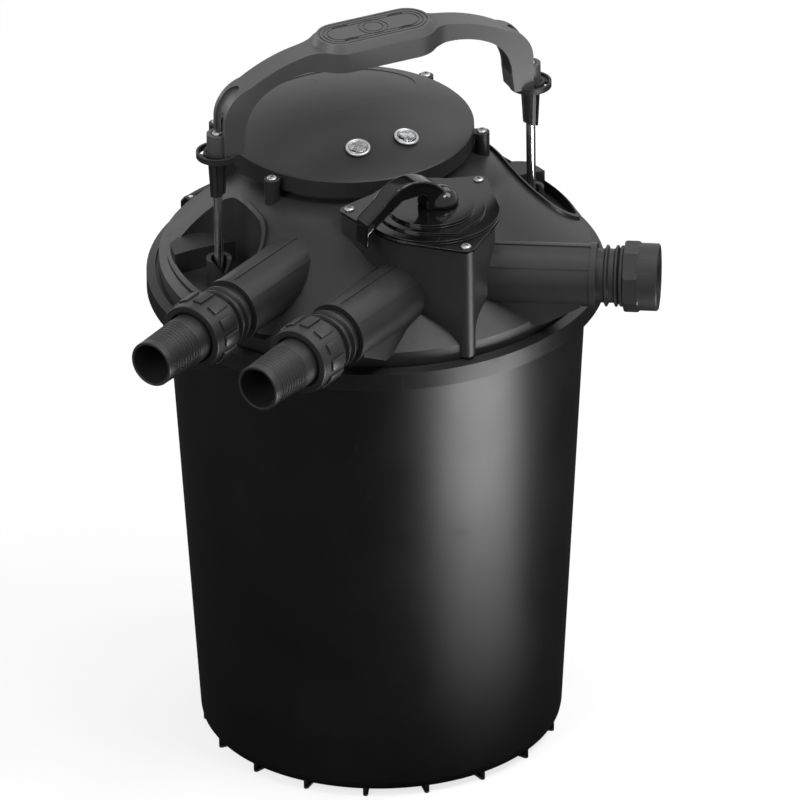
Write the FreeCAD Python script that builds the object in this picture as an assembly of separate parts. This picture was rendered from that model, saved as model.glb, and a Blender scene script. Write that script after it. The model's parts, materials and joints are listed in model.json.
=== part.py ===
"""Pressure filter for a garden pond: a tapered bucket, a domed lid with a ring clamp, a lamp housing,
a three-way valve with its lever, three union ports and a pull handle that squeezes the foam stack.

Millimetres, +Z up. The origin is on the bucket's axis at floor level. +X runs along the handle to its
right-hand rod, and -Y points to the valve at the front.
"""
import FreeCAD, Part
import os
from math import sin, cos, tan, asin, acos, atan2, sqrt, radians, degrees, pi

V = FreeCAD.Vector
ORIGIN, UP = V(0, 0, 0), V(0, 0, 1)

# Overall sizes
RIM_Z = 437.0            # top edge of the clamp ring above the floor
BUCKET_TOP_R = 180.3     # outside of the bucket under its flange
WALL = 4.0               # moulded wall of the bucket and the lid
GAP = 0.3                # air between moving neighbours
RUN = 0.06               # radial play of a shaft in its bearing
SEAT = 0.2               # play of a piece that is pushed into its seat

# Bucket
BUCKET_DRAFT = 25.3      # how much smaller its base is, in radius
BUCKET_CORNER = 9.0
FOOT_H = 5.0
FOOT_W = 4.5
FOOT_COUNT = 18
HUB_FOOT_R = 24.0

# Rim joint: bucket flange, seal, lid flange and the ring that grips them
FLANGE_OUT = 10.6        # of the flanges beyond the bucket's wall
FLANGE_T = 4.0
SEAL_T = 3.0
SEAL_W = 5.0
SEAL_IN = 3.0            # of the seal from the flanges' edge
RING_H = 18.2
RING_PLAY = 0.6
RING_WALL = 5.0
RING_LAP = 2.0           # how far the ring's lip reaches over the flange
RING_CLEAR = 2.5         # between the bucket's wall and the ring's lower lip
RING_SKIN = 2.2
RING_DROP = 2.6          # fall of the ring's sloping top from its lip to its edge

# Lid
STEP_GROOVE = 3.2        # between the ring's lip and the lid's upright step
STEP_H = 12.5            # upright step between the flange and the cone
CONE_DEG = 42.8
PLATEAU_H = 88.0         # flat top above the rim
SHOULDER_R = 46.0        # round-over between cone and flat top

# Lamp housing on the lid
HOUSING_Y = 52.0         # its axis lies behind the bucket's
COLLAR_R = 97.0
COVER_OUT = 10.0         # of the cover beyond the collar
COVER_T = 3.0
SKIRT_H = 95.0           # bottom of the cover's skirt above the rim
CREASE_H = 111.0         # where skirt and dome meet
CREASE_IN = 1.2
DOME_RISE = 21.0
OVAL_LONG = 78.0         # half sizes of the shallow oval field on the dome
OVAL_WIDE = 46.0
OVAL_DEPTH = 0.6
OVAL_AT = (-2.0, 35.0)   # from the cover's centre
COVER_SCREW_OUT = 7.0    # of the screws beyond the cover's skirt
COVER_SCREW_ANGLES = (-150, -30, 30, 90, 150)
BOSS_R = 6.5
LENS_R = 10.6
LENS_LAP = 2.5           # how far a lens covers the edge of its hole
LENS_AT_R = 71.5
LENS_HALF_DEG = 18.5
GLAND_DEG = 60.0
GLAND_R = 6.0
GLAND_DROP = 14.0        # below the flat top of the lid

# Pockets in the lid where the pull rods pass
ROD_INSET = 38.7         # of the rods from the lid's step
ROD_R = 4.0
POCKET_R = 30.5          # half the width of a pocket
POCKET_SHIFT = 1.0       # of its middle line from the rod, outwards
POCKET_FRONT = -18.0     # Y of the centres of its two round ends
POCKET_BACK = 29.0
POCKET_EDGE = 9.2        # of its outer side from the lid's step
POCKET_FLOOR = 14.0
POCKET_RIM = 3.0         # height of its rim over the lid's surface
POCKET_WALL = 3.0
POST_R = 11.0
POST_TOP = 40.0
NOTCH_DEPTH = 13.0
SHELF_TOP = 34.0
SHELF_Y = 33.0
BUSH_R = 7.0
BUSH_LEN = 18.0

# Pull handle, heights above the rim in the raised position
TRAVEL = 58.0
HANDLE_W = 23.0
HANDLE_WALL = 3.0
LEG_FOOT = 141.0
LEG_SET = 2.0            # of the leg's outer face from the rod's axis
LEG_DEPTH = 18.0
ARM_TOP = 222.0
ARM_UNDER = 204.0
PAD_RISE = 6.5
PAD_LEN = 114.0
PAD_W = 52.0
PAD_SLOPE = 5.5          # how far the raised grip leans in
PAD_BLEND = 25.0
PAD_RING_R = 13.0
HANDLE_BOSS_R = 9.0
HANDLE_BOSS_TOP = 160.0
SLOT_W = 15.0
SLOT_TOP = 200.0
SLOT_DEPTH = 2.0
DISC_R = 18.2
DISC_T = 3.0
DISC_RIM = 2.0
SLEEVE_LEN = 42.0
SLEEVE_TOP_W = 17.0
SLEEVE_TIP_W = 12.5
ROD_SEAT = 10.0          # depth of the rod's hole in the leg

# Three-way valve
EAR_IN = 0.7             # of the front ear's centre from the lid's step
VALVE_R = 54.0           # outside of its housing
CHAMBER_R = 45.0
CHAMBER_FLOOR = 14.0
PLATE_TOP = 107.0
PLATE_T = 5.0
PLATE_R = 59.0
EAR_AT_R = 70.0
EAR_R = 7.0
EAR_LOW = 2.5            # the ears' tops lie lower than the plate's
EAR_ANGLES = (-90, 30, 150)
POST_HALF = 15.0         # half the width of the front post where it leaves the housing
RIDGE_R = 46.0           # raised field on the plate, with a blunt corner towards each ear
RIDGE_AT_R = 47.5
RIDGE_EAR_R = 4.0
RIDGE_RISE = 2.0
ROUND_R = 37.0           # round step inside it
ROUND_RISE = 4.5
SPINDLE_R = 7.0
SPINDLE_RISE = 10.0
HUB_R = 15.5
HUB_BACK = 9.5           # centre of the hub's dome behind the spindle's axis
LEVER_DEG = 187.5
LEVER_REACH = 71.0
LEVER_DROP = 93.5        # height of its hanging tip above the rim
LEVER_TOP = 143.5
LEVER_W = 18.0

# Ports: their axes lie in one level plane
PORT_H = 49.0
PORT_DEG = -150.0
SIDE_PORT_DEG = -30.0
TUBE_R = 27.0
TUBE_END = 141.0         # from the valve's axis
TANK_TUBE_END = 214.0    # from the bucket's axis
COLLAR_LEN = 5.0
STUB_R = 23.2
STUB_LEN = 44.0          # from the end of the tube to the sealing face
SIDE_STUB_LEN = 34.0
STUB_BORE = 18.5
THREAD_R = 26.4
THREAD_PITCH = 8.6
THREAD_T = 2.6
NUT_START = 27.5         # rear face of a union nut, from the end of the tube
NUT_LEN = 30.5
NUT_R = 29.0
NUT_PAD = 1.8
NUT_PADS = 12
NUT_LIP = 5.0
FLANGE_SEAL_T = 2.0
TAIL_R = 21.4
TAIL_TIP_R = 20.2
TAIL_BORE = 17.6
TAIL_LEN = 57.5          # free length in front of the nut
TAIL_RINGS = 10
TAIL_LAND = 6.0          # plain land at the tip
SOCKET_R = 28.9
SOCKET_BORE = 25.1
SOCKET_LEN = 16.0        # free length in front of its grip
GRIP_START = 23.5
GRIP_LEN = 13.5
GRIP_R = 30.6

# Foam stack and what carries it, heights above the floor
PLATE_LOW = 80.0         # press plate when the handle is down
PRESS_T = 8.0
PRESS_PLAY = 0.5         # of the press plate in the bucket at its lowest
FOAM_PLAY = 3.2
FOAM_COUNT = 4
GRID_Z = 396.0
GRID_T = 5.0
GRID_PLAY = 7.0
LAMP_TUBE_R = 30.0
LAMP_TUBE_WALL = 2.5
LAMP_TUBE_FOOT = 58.0
QUARTZ_R = 14.0
QUARTZ_WALL = 1.5
QUARTZ_LEN = 250.0
LAMP_R = 7.0

# Ring clamp latch
LATCH_DEG = 109.0
LATCH_GAP_DEG = 3.0
LATCH_LEN = 54.0
LATCH_H = 11.0
LATCH_T = 5.0
EAR_T = 1.7
PIN_R = 2.0
PIN_OUT = 5.5            # of a pin's centre from the ring's wall

SCREW_HEAD_R = 4.4
SCREW_HEAD_H = 2.6
SCREW_R = 2.0
SCREW_LEN = 14.0

# Values that follow from the ones above
FLANGE_TOP = RIM_Z - RING_SKIN - GAP
SEAL_TOP = FLANGE_TOP - FLANGE_T
BUCKET_RIM = SEAL_TOP - SEAL_T
BUCKET_BASE_R = BUCKET_TOP_R - BUCKET_DRAFT
TAPER = BUCKET_DRAFT / (BUCKET_RIM - FOOT_H)
FLANGE_R = BUCKET_TOP_R + FLANGE_OUT
RING_R = FLANGE_R + RING_PLAY + RING_WALL
RING_LIP_R = FLANGE_R - RING_LAP
STEP_R = RING_LIP_R - STEP_GROOVE
PLATEAU = RIM_Z + PLATEAU_H
COVER_R = COLLAR_R + COVER_OUT
COVER_SCREW_R = COVER_R + COVER_SCREW_OUT
COLLAR_TOP = RIM_Z + CREASE_H - COVER_T
PORT_Z = RIM_Z + PORT_H
ROD_X = STEP_R - ROD_INSET
LEG_OUT_X = ROD_X - LEG_SET
LEG_IN_X = LEG_OUT_X - LEG_DEPTH
VALVE_Y = EAR_AT_R + EAR_IN - STEP_R
VALVE_TOP = RIM_Z + PLATE_TOP
EAR_TOP = VALVE_TOP - EAR_LOW
LEVER_FOOT = VALVE_TOP + ROUND_RISE + GAP
PRESS_REST = PLATE_LOW + TRAVEL


def bucket_inside(z):
    """Inner radius of the bucket's wall at a height."""
    return BUCKET_BASE_R - WALL + TAPER * (z - FOOT_H)


PRESS_R = bucket_inside(PLATE_LOW) - PRESS_PLAY
FOAM_R = bucket_inside(PLATE_LOW) - FOAM_PLAY
GRID_R = bucket_inside(GRID_Z) - GRID_PLAY


def at(radius, angle, z=0.0, x=0.0, y=0.0):
    """Point at a radius and an angle in degrees round a centre."""
    return V(x + radius * cos(radians(angle)), y + radius * sin(radians(angle)), z)


def cyl(radius, z0, z1, x=0.0, y=0.0):
    return Part.makeCylinder(radius, z1 - z0, V(x, y, z0))


def box(x0, x1, y0, y1, z0, z1):
    return Part.makeBox(x1 - x0, y1 - y0, z1 - z0, V(x0, y0, z0))


def closed_wire(points, to_vector):
    """Closed wire through points; a nested pair (middle, end) is an arc through its middle."""
    edges = []
    last = to_vector(points[0])
    for item in list(points[1:]) + [points[0]]:
        if isinstance(item[0], tuple):
            middle, end = to_vector(item[0]), to_vector(item[1])
            edges.append(Part.Arc(last, middle, end).toShape())
        else:
            end = to_vector(item)
            if end.distanceToPoint(last) < 1e-6:
                continue
            edges.append(Part.LineSegment(last, end).toShape())
        last = end
    return Part.Wire(edges)


def turned(points, x=0.0, y=0.0):
    """Solid of revolution about the upright axis at x, y from an outline of (radius, z)."""
    wire = closed_wire(points, lambda p: V(p[0], 0, p[1]))
    solid = Part.Face(wire).revolve(ORIGIN, UP, 360)
    solid.translate(V(x, y, 0))
    return solid


def spun(points):
    """Solid of revolution about the X axis from an outline of (x, radius)."""
    wire = closed_wire(points, lambda p: V(p[0], p[1], 0))
    return Part.Face(wire).revolve(ORIGIN, V(1, 0, 0), 360)


def slab(points, y0, y1):
    """Outline of (x, z) extruded along Y."""
    wire = closed_wire(points, lambda p: V(p[0], y0, p[1]))
    return Part.Face(wire).extrude(V(0, y1 - y0, 0))


def prism(points, z0, z1):
    """Outline of (x, y) extruded along Z."""
    wire = closed_wire(points, lambda p: V(p[0], p[1], z0))
    return Part.Face(wire).extrude(V(0, 0, z1 - z0))


def turn(shape, angle, x=0.0, y=0.0):
    """Copy turned about the upright axis at x, y."""
    out = shape.copy()
    out.rotate(V(x, y, 0), UP, angle)
    return out


def to_port(shape, centre_y, angle):
    """Copy of a piece that was made along +X, brought to a port's axis."""
    out = shape.copy()
    out.rotate(ORIGIN, UP, angle)
    out.translate(V(0, centre_y, PORT_Z))
    return out


def fuse(*shapes):
    first = shapes[0]
    return first.fuse(list(shapes[1:])).removeSplitter() if len(shapes) > 1 else first


def mirrored(shape):
    return shape.mirror(ORIGIN, V(1, 0, 0))


def group(shapes):
    return Part.makeCompound(shapes)


def ring_wall(inner, outer, z0, z1, x=0.0, y=0.0):
    return cyl(outer, z0, z1, x, y).cut(cyl(inner, z0 - 1, z1 + 1, x, y))


# Bucket and rim


def bucket():
    wall_z = FOOT_H + BUCKET_CORNER
    base_out = BUCKET_BASE_R + TAPER * BUCKET_CORNER
    turn_in = BUCKET_CORNER * (1 - cos(radians(45)))
    floor_z = FOOT_H + WALL
    flange_z = BUCKET_RIM - FLANGE_T
    outline = [
        (0, FOOT_H),
        (base_out - BUCKET_CORNER, FOOT_H),
        ((base_out - turn_in, FOOT_H + turn_in), (base_out, wall_z)),
        (BUCKET_TOP_R, flange_z),
        (FLANGE_R, flange_z),
        (FLANGE_R, BUCKET_RIM),
        (BUCKET_TOP_R - WALL, BUCKET_RIM),
        (base_out - WALL, wall_z),
        ((base_out - WALL - turn_in * 0.6, floor_z + turn_in * 0.6), (base_out - BUCKET_CORNER - 1, floor_z)),
        (0, floor_z),
    ]
    shell = turned(outline)
    end = BUCKET_BASE_R - FOOT_W / 2 - 1
    rib = box(HUB_FOOT_R - 2, end, -FOOT_W / 2, FOOT_W / 2, 0, FOOT_H + WALL / 2)
    nub = cyl(FOOT_W / 2, 0, FOOT_H + WALL - GAP, end, 0)
    ribs = [turn(piece, i * 360.0 / FOOT_COUNT) for i in range(FOOT_COUNT) for piece in (rib, nub)]
    hub = cyl(HUB_FOOT_R, 0, FOOT_H + WALL / 2)
    return fuse(shell, hub, *ribs)


def lid_seal():
    edge = FLANGE_R - SEAL_IN
    return ring_wall(edge - SEAL_W, edge, BUCKET_RIM, SEAL_TOP)


def clamp_ring():
    top, foot = RIM_Z, RIM_Z - RING_H
    hold = FLANGE_R + RING_PLAY
    throat = BUCKET_TOP_R + RING_CLEAR
    outline = [
        (RING_LIP_R, top),
        (RING_R, top - RING_DROP),
        (RING_R, foot),
        (throat, foot),
        (throat, BUCKET_RIM - FLANGE_T - GAP),
        (hold, BUCKET_RIM - FLANGE_T - GAP),
        (hold, FLANGE_TOP),
        (RING_LIP_R, FLANGE_TOP),
    ]
    ring = turned(outline)
    half = RING_R * tan(radians(LATCH_GAP_DEG / 2))
    slot = box(RING_LIP_R - 20, RING_R + 5, -half, half, foot - 1, top + 1)
    return ring.cut(turn(slot, LATCH_DEG))


def clamp_bracket():
    """Pairs of ears on both sides of the split: the lever turns in one pair and snaps over the other's pin."""
    mid = RIM_Z - RING_H / 2
    ears = []
    for along in (-LATCH_LEN / 2, LATCH_LEN / 2):
        for z0 in (mid - LATCH_H / 2 - EAR_T - GAP, mid + LATCH_H / 2 + GAP):
            ear = box(RING_R - 4, RING_R + PIN_OUT + PIN_R + 2, along - 5, along + 5, z0, z0 + EAR_T)
            ears.append(ear.cut(cyl(PIN_R, z0 - 1, z0 + EAR_T + 1, RING_R + PIN_OUT, along)))
    return [turn(ear, LATCH_DEG) for ear in ears]


def clamp_lever():
    """Curved lever that turns on one pin, lies along the ring and snaps over the other pin."""
    mid = RIM_Z - RING_H / 2
    half = LATCH_LEN / 2
    pin = RING_R + PIN_OUT
    inner, outer = pin + PIN_R + GAP, pin + PIN_R + GAP + LATCH_T
    bar = prism([
        (pin, -half - 4), (outer - 1, -half - 2), ((outer + 1.5, 0), (outer - 2, half + 6)), (inner + 1, half + 9),
        ((inner + 0.4, half + 5), (inner, half)), ((inner + 1.5, 0), (inner - 1, -half + 6)), (pin, -half + 4),
        ((pin - 4, -half), (pin, -half - 4)),
    ], mid - LATCH_H / 2, mid + LATCH_H / 2)
    bar = bar.cut(cyl(PIN_R + RUN, mid - 20, mid + 20, pin, -half))
    return turn(bar, LATCH_DEG)


def clamp_pins():
    mid = RIM_Z - RING_H / 2
    reach = LATCH_H / 2 + GAP + EAR_T + 0.6
    pins = [cyl(PIN_R, mid - reach, mid + reach, RING_R + PIN_OUT, s * LATCH_LEN / 2) for s in (-1, 1)]
    return group([turn(p, LATCH_DEG) for p in pins])


# Lid


def lid_outline(inset, foot):
    """Cone of the lid with its rounded shoulder, moved in by inset."""
    slope = radians(CONE_DEG)
    step_r = STEP_R - inset
    step_z = RIM_Z + STEP_H - inset * 0.4
    top = PLATEAU - inset
    round_r = SHOULDER_R - inset
    corner_r = step_r - (top - step_z) / tan(slope)
    run = round_r * tan(slope / 2)
    start = (corner_r + run * cos(slope), top - run * sin(slope))
    centre = (corner_r - run, top - round_r)
    middle = (centre[0] + round_r * sin(slope / 2), centre[1] + round_r * cos(slope / 2))
    return [(0, foot), (step_r, foot), (step_r, step_z), start, (middle, (corner_r - run, top)), (0, top)]


def tangent_half(main_r, ear_at, ear_r):
    """Half the width of a lobe where it leaves a round body at a tangent."""
    lean = (main_r - ear_r) / ear_at
    return main_r * sqrt(1 - lean * lean)


def ear_lobe(z0, z1, angle, main_r, half, ear_at, ear_r):
    """Upright lobe from a round body on the valve's axis to a round ear; half is half its width at the root."""
    root = V(sqrt(main_r ** 2 - half ** 2), half, 0)
    to_root = root - V(ear_at, 0, 0)
    lean = degrees(atan2(to_root.y, to_root.x) - acos(ear_r / to_root.Length))
    tip = at(ear_r, lean, 0, ear_at, 0)
    lobe = prism([(root.x, root.y), (tip.x, tip.y), ((ear_at + ear_r, 0), (tip.x, -tip.y)), (root.x, -root.y),
                  (0, 0)], z0, z1)
    lobe.rotate(ORIGIN, UP, angle)
    lobe.translate(V(0, VALVE_Y, 0))
    return lobe


def pocket_shape(grow, z0, z1):
    """Upright prism of the right pocket: two round ends, and an outer side that follows the lid's edge."""
    r = POCKET_R + grow
    x = ROD_X + POCKET_SHIFT
    front, back = POCKET_FRONT, POCKET_BACK
    oval = prism([(x - r, front), ((x, front - r), (x + r, front)), (x + r, back), ((x, back + r), (x - r, back))],
                 z0, z1)
    return oval.common(cyl(STEP_R - POCKET_EDGE + grow, z0, z1))


def port_tube(length, start, web_from, stub):
    """Plain tube with its collar, thread rings and the web that stiffens it from below, along +X."""
    end = length + stub
    outline = [(start, 0), (start, TUBE_R), (length - COLLAR_LEN, TUBE_R), (length - COLLAR_LEN, TUBE_R + 1.2),
               (length, TUBE_R + 1.2), (length, STUB_R), (end, STUB_R), (end, 0)]
    tube = spun(outline)
    rings = []
    for i in range(1, 3):
        x = length + i * THREAD_PITCH
        rings.append(spun([(x - THREAD_T / 2 - 1, 0), (x - THREAD_T / 2 - 1, STUB_R), (x - THREAD_T / 4, THREAD_R),
                           (x + THREAD_T / 4, THREAD_R), (x + THREAD_T / 2 + 1, STUB_R),
                           (x + THREAD_T / 2 + 1, 0)]))
    web_w = TUBE_R * 0.72
    web = slab([(web_from, 0), (length - COLLAR_LEN - 8, 0), (length - COLLAR_LEN - 8, -TUBE_R * 0.8),
                (length - 45, -TUBE_R - 12), (web_from, -TUBE_R - 12)], -web_w, web_w)
    ribs = []
    for angle in (38, 90, 142):
        rib = box(start, length - COLLAR_LEN, -0.8, 0.8, TUBE_R - 1, TUBE_R + 0.9)
        rib.rotate(ORIGIN, V(1, 0, 0), angle - 90)
        ribs.append(rib)
    return fuse(tube, web, *rings, *ribs)


def port_bore(length, start, stub):
    end = length + stub + 1
    return spun([(start, 0), (start, STUB_BORE), (end, STUB_BORE), (end, 0)])


# Each port: its centre's Y, direction, end of the tube, start of the tube, start of the web, stub
PORTS = {
    "tank": (0.0, PORT_DEG, TANK_TUBE_END, 110.0, 120.0, STUB_LEN),
    "inlet": (VALVE_Y, PORT_DEG, TUBE_END, 30.0, 50.0, STUB_LEN),
    "side": (VALVE_Y, SIDE_PORT_DEG, TUBE_END, 30.0, 50.0, SIDE_STUB_LEN),
}


def lid():
    flange_foot = SEAL_TOP
    cone = turned(lid_outline(0.0, flange_foot))
    flange = cyl(FLANGE_R, flange_foot, FLANGE_TOP)
    collar = cyl(COLLAR_R, RIM_Z + 2, COLLAR_TOP, 0, HOUSING_Y)
    over_skin = turned(lid_outline(-POCKET_RIM, RIM_Z - 2))
    pocket_wall = pocket_shape(POCKET_WALL, RIM_Z - 1, PLATEAU).common(over_skin)
    seat_z = VALVE_TOP - PLATE_T
    housing = cyl(VALVE_R, RIM_Z + 2, seat_z, 0, VALVE_Y)
    ears = [ear_lobe(RIM_Z + 2, seat_z, EAR_ANGLES[0], VALVE_R, POST_HALF, EAR_AT_R, EAR_R)]
    ears += [ear_lobe(PLATEAU - 20, seat_z, a, VALVE_R, tangent_half(VALVE_R, EAR_AT_R, EAR_R), EAR_AT_R, EAR_R)
             for a in EAR_ANGLES[1:]]
    posts = [cyl(BOSS_R, PLATEAU - 60, RIM_Z + SKIRT_H + 6, *at(COVER_SCREW_R, a, 0, 0, HOUSING_Y)[:2])
             for a in COVER_SCREW_ANGLES]
    arms = [turn(box(COLLAR_R - 6, COVER_SCREW_R, -3, 3, PLATEAU - 60, RIM_Z + SKIRT_H - GAP), a)
            for a in COVER_SCREW_ANGLES]
    for arm in arms:
        arm.translate(V(0, HOUSING_Y, 0))
    tubes = [to_port(port_tube(length, start, web, stub), cy, deg)
             for cy, deg, length, start, web, stub in PORTS.values()]
    outer = fuse(cone, flange, collar, pocket_wall, mirrored(pocket_wall), housing, *ears, *posts, *arms, *tubes)

    # What stays standing inside the hollow: pocket thimbles, valve chamber, lamp seat and their duct
    thimble = pocket_shape(POCKET_WALL, RIM_Z + POCKET_FLOOR - POCKET_WALL, PLATEAU + 30)
    chamber_wall = cyl(CHAMBER_R + WALL, RIM_Z + CHAMBER_FLOOR - WALL, PLATEAU + 30, 0, VALVE_Y)
    seat = cyl(LAMP_TUBE_R + WALL, RIM_Z + 12, PLATEAU, 0, 0)
    duct = Part.makeCylinder(STUB_BORE + WALL, -VALVE_Y, V(0, VALVE_Y, PORT_Z), V(0, 1, 0))
    keep = fuse(thimble, mirrored(thimble), chamber_wall, seat, duct, cable_duct())
    hollow = fuse(turned(lid_outline(WALL, flange_foot - 1)),
                  cyl(COLLAR_R - WALL, flange_foot - 1, PLATEAU - WALL, 0, HOUSING_Y))
    hollow = hollow.common(cyl(BUCKET_TOP_R - WALL, flange_foot - 2, PLATEAU + 50))
    body = outer.cut(hollow.cut(keep))

    # Openings cut from outside
    dry = cyl(COLLAR_R - WALL, PLATEAU, COLLAR_TOP + 1, 0, HOUSING_Y)
    well = pocket_shape(0, RIM_Z + POCKET_FLOOR, PLATEAU + 40)
    chamber = cyl(CHAMBER_R, RIM_Z + CHAMBER_FLOOR, VALVE_TOP, 0, VALVE_Y)
    lamp_seat = cyl(LAMP_TUBE_R + SEAT, RIM_Z + 11, PLATEAU - WALL)
    lamp_hole = cyl(QUARTZ_R + SEAT, PLATEAU - WALL - 1, PLATEAU + 1)
    duct_bore = Part.makeCylinder(STUB_BORE, -VALVE_Y, V(0, VALVE_Y, PORT_Z), V(0, 1, 0))
    bores = [to_port(port_bore(length, max(start, CHAMBER_R - 8), stub), cy, deg)
             for cy, deg, length, start, web, stub in PORTS.values()]
    body = body.cut([dry, well, mirrored(well), chamber, lamp_seat, lamp_hole, duct_bore] + bores)

    # Sockets on the pocket floors
    post = pocket_post()
    body = fuse(body, post, mirrored(post))
    rod_bore = cyl(BUSH_R, RIM_Z + POCKET_FLOOR - 10, RIM_Z + POST_TOP + 1, ROD_X, 0)
    holes = [rod_bore, mirrored(rod_bore)]
    holes += [cyl(SCREW_R, RIM_Z + SKIRT_H - SCREW_LEN, RIM_Z + SKIRT_H + 10,
                  *at(COVER_SCREW_R, a, 0, 0, HOUSING_Y)[:2]) for a in COVER_SCREW_ANGLES]
    holes += [cyl(SCREW_R, VALVE_TOP - PLATE_T - SCREW_LEN, VALVE_TOP, *at(EAR_AT_R, a, 0, 0, VALVE_Y)[:2])
              for a in EAR_ANGLES]
    return body.cut(holes + cable_way())


def at_gland(shape):
    """Copy of a piece that was made along +X beside the housing's axis, turned to the cable's side."""
    out = shape.copy()
    out.rotate(ORIGIN, UP, GLAND_DEG)
    out.translate(V(0, HOUSING_Y, 0))
    return out


def cable_duct():
    """Block behind the housing's wall that keeps the cable's way dry."""
    reach = 3 * GLAND_R + WALL
    return at_gland(box(COLLAR_R - reach, COLLAR_R, -GLAND_R - WALL, GLAND_R + WALL,
                        PLATEAU - GLAND_DROP - GLAND_R - WALL, PLATEAU))


def cable_way():
    level = PLATEAU - GLAND_DROP
    bend = COLLAR_R - WALL - GLAND_R - 2
    side = Part.makeCylinder(GLAND_R, COLLAR_R - bend + 1, V(bend, 0, level), V(1, 0, 0))
    riser = cyl(GLAND_R, level, PLATEAU + 1, bend, 0)
    return [at_gland(side), at_gland(riser)]


def pocket_post():
    """Socket on a pocket's floor with its V notch, and the half-moon ledge behind it."""
    floor = RIM_Z + POCKET_FLOOR
    post = cyl(POST_R, floor - 1, RIM_Z + POST_TOP, ROD_X, 0)
    top = RIM_Z + POST_TOP
    notch = slab([(-POST_R * 0.8, top + 1), (0, top - NOTCH_DEPTH), (POST_R * 0.8, top + 1)], -POST_R - 2, 0)
    notch.translate(V(ROD_X, 0, 0))
    ledge = pocket_shape(0.5, floor - 1, RIM_Z + SHELF_TOP)
    ledge = ledge.cut(cyl(STEP_R, floor - 2, RIM_Z + SHELF_TOP + 1, ROD_X, SHELF_Y - STEP_R))
    return fuse(post.cut(notch), ledge)


# Lamp housing


def dome_middle(edge_r, edge_z):
    """Middle of the arc from a dome's edge to its top on the axis, so that the dome is part of a ball."""
    ball_r = (edge_r ** 2 + DOME_RISE ** 2) / (2 * DOME_RISE)
    half = asin(edge_r / ball_r) / 2
    return ball_r * sin(half), edge_z + DOME_RISE - ball_r * (1 - cos(half))


def oval_field():
    """What is cut off the dome so that a plain oval field lies a little lower."""
    crease = RIM_Z + CREASE_H - OVAL_DEPTH
    edge_r = COVER_R - CREASE_IN
    lowered = turned([(0, crease - 5), (edge_r, crease - 5), (edge_r, crease),
                      (dome_middle(edge_r, crease), (0, crease + DOME_RISE))], 0, HOUSING_Y)
    x, y = OVAL_AT
    rim = Part.Wire(Part.Ellipse(V(x, HOUSING_Y + y, crease - 4), OVAL_LONG, OVAL_WIDE).toShape())
    return Part.Face(rim).extrude(V(0, 0, DOME_RISE * 2)).cut(lowered)


def uv_cover():
    skirt_foot, crease = RIM_Z + SKIRT_H, RIM_Z + CREASE_H
    top = crease + DOME_RISE
    edge_r, inner_r = COVER_R - CREASE_IN, COVER_R - COVER_T
    shell = turned([
        (0, top), (dome_middle(edge_r, crease), (edge_r, crease)), (COVER_R, crease - CREASE_IN),
        (COVER_R, skirt_foot), (inner_r, skirt_foot), (inner_r, crease - COVER_T),
        (dome_middle(inner_r, crease - COVER_T), (0, top - COVER_T)),
    ], 0, HOUSING_Y)
    lugs = []
    for a in COVER_SCREW_ANGLES:
        lug = cyl(BOSS_R, RIM_Z + SKIRT_H + 6, crease - 4, COVER_SCREW_R, 0)
        neck = box(COVER_R - 2, COVER_SCREW_R, -BOSS_R * 0.75, BOSS_R * 0.75, RIM_Z + SKIRT_H + 6, crease - 4)
        piece = turn(fuse(lug, neck), a)
        piece.translate(V(0, HOUSING_Y, 0))
        lugs.append(piece)
    body = fuse(shell, *lugs)
    cuts = [cyl(SCREW_R, skirt_foot, crease, *at(COVER_SCREW_R, a, 0, 0, HOUSING_Y)[:2])
            for a in COVER_SCREW_ANGLES]
    cuts += [cyl(LENS_R - LENS_LAP, skirt_foot, top + 5, *p) for p in lens_points()]
    return body.cut(cuts + [oval_field()])


def lens_points():
    return [tuple(at(LENS_AT_R, -90 + s * LENS_HALF_DEG, 0, 0, HOUSING_Y)[:2]) for s in (-1, 1)]


def indicator_lenses():
    """Clear domed windows over the two indicator lamps, with a collar that drops into the cover."""
    crease = RIM_Z + CREASE_H
    share = LENS_AT_R / COVER_R
    seat_z = crease + DOME_RISE * (1 - share * share)
    tilt = degrees(atan2(2 * DOME_RISE * share, COVER_R))
    out = []
    for s, (x, y) in zip((-1, 1), lens_points()):
        lens = turned([(0, 0.3), (LENS_R, 0.3), (LENS_R, 1.6), ((LENS_R * 0.7, 3.2), (LENS_R * 0.2, 3.8)), (0, 3.8)])
        stem = cyl(LENS_R - LENS_LAP - 1.0, -3.0, 0.6)
        piece = fuse(lens, stem)
        angle = -90 + s * LENS_HALF_DEG
        piece.rotate(ORIGIN, V(-sin(radians(angle)), cos(radians(angle)), 0), tilt)
        piece.translate(V(x, y, seat_z + 1.2))
        out.append(piece)
    return group(out)


def uv_cover_seal():
    return ring_wall(COLLAR_R - WALL + 0.5, COLLAR_R - 0.5, COLLAR_TOP, COLLAR_TOP + COVER_T - 0.3, 0, HOUSING_Y)


def pan_head(z, x, y):
    """Screw with a domed cross-slot head; z is the underside of its head."""
    shank = cyl(SCREW_R - SEAT / 2, z - SCREW_LEN + 2, z, x, y)
    head = turned([(0, z), (SCREW_HEAD_R, z), (SCREW_HEAD_R, z + SCREW_HEAD_H * 0.4),
                   ((SCREW_HEAD_R * 0.66, z + SCREW_HEAD_H * 0.85), (0, z + SCREW_HEAD_H))], x, y)
    slot = box(x - 2.6, x + 2.6, y - 0.5, y + 0.5, z + SCREW_HEAD_H * 0.5, z + SCREW_HEAD_H + 1)
    return fuse(shank, head).cut([slot, turn(slot, 90, x, y)])


def uv_cover_screws():
    return group([pan_head(RIM_Z + CREASE_H - 4, *at(COVER_SCREW_R, a, 0, 0, HOUSING_Y)[:2])
                  for a in COVER_SCREW_ANGLES])


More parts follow.
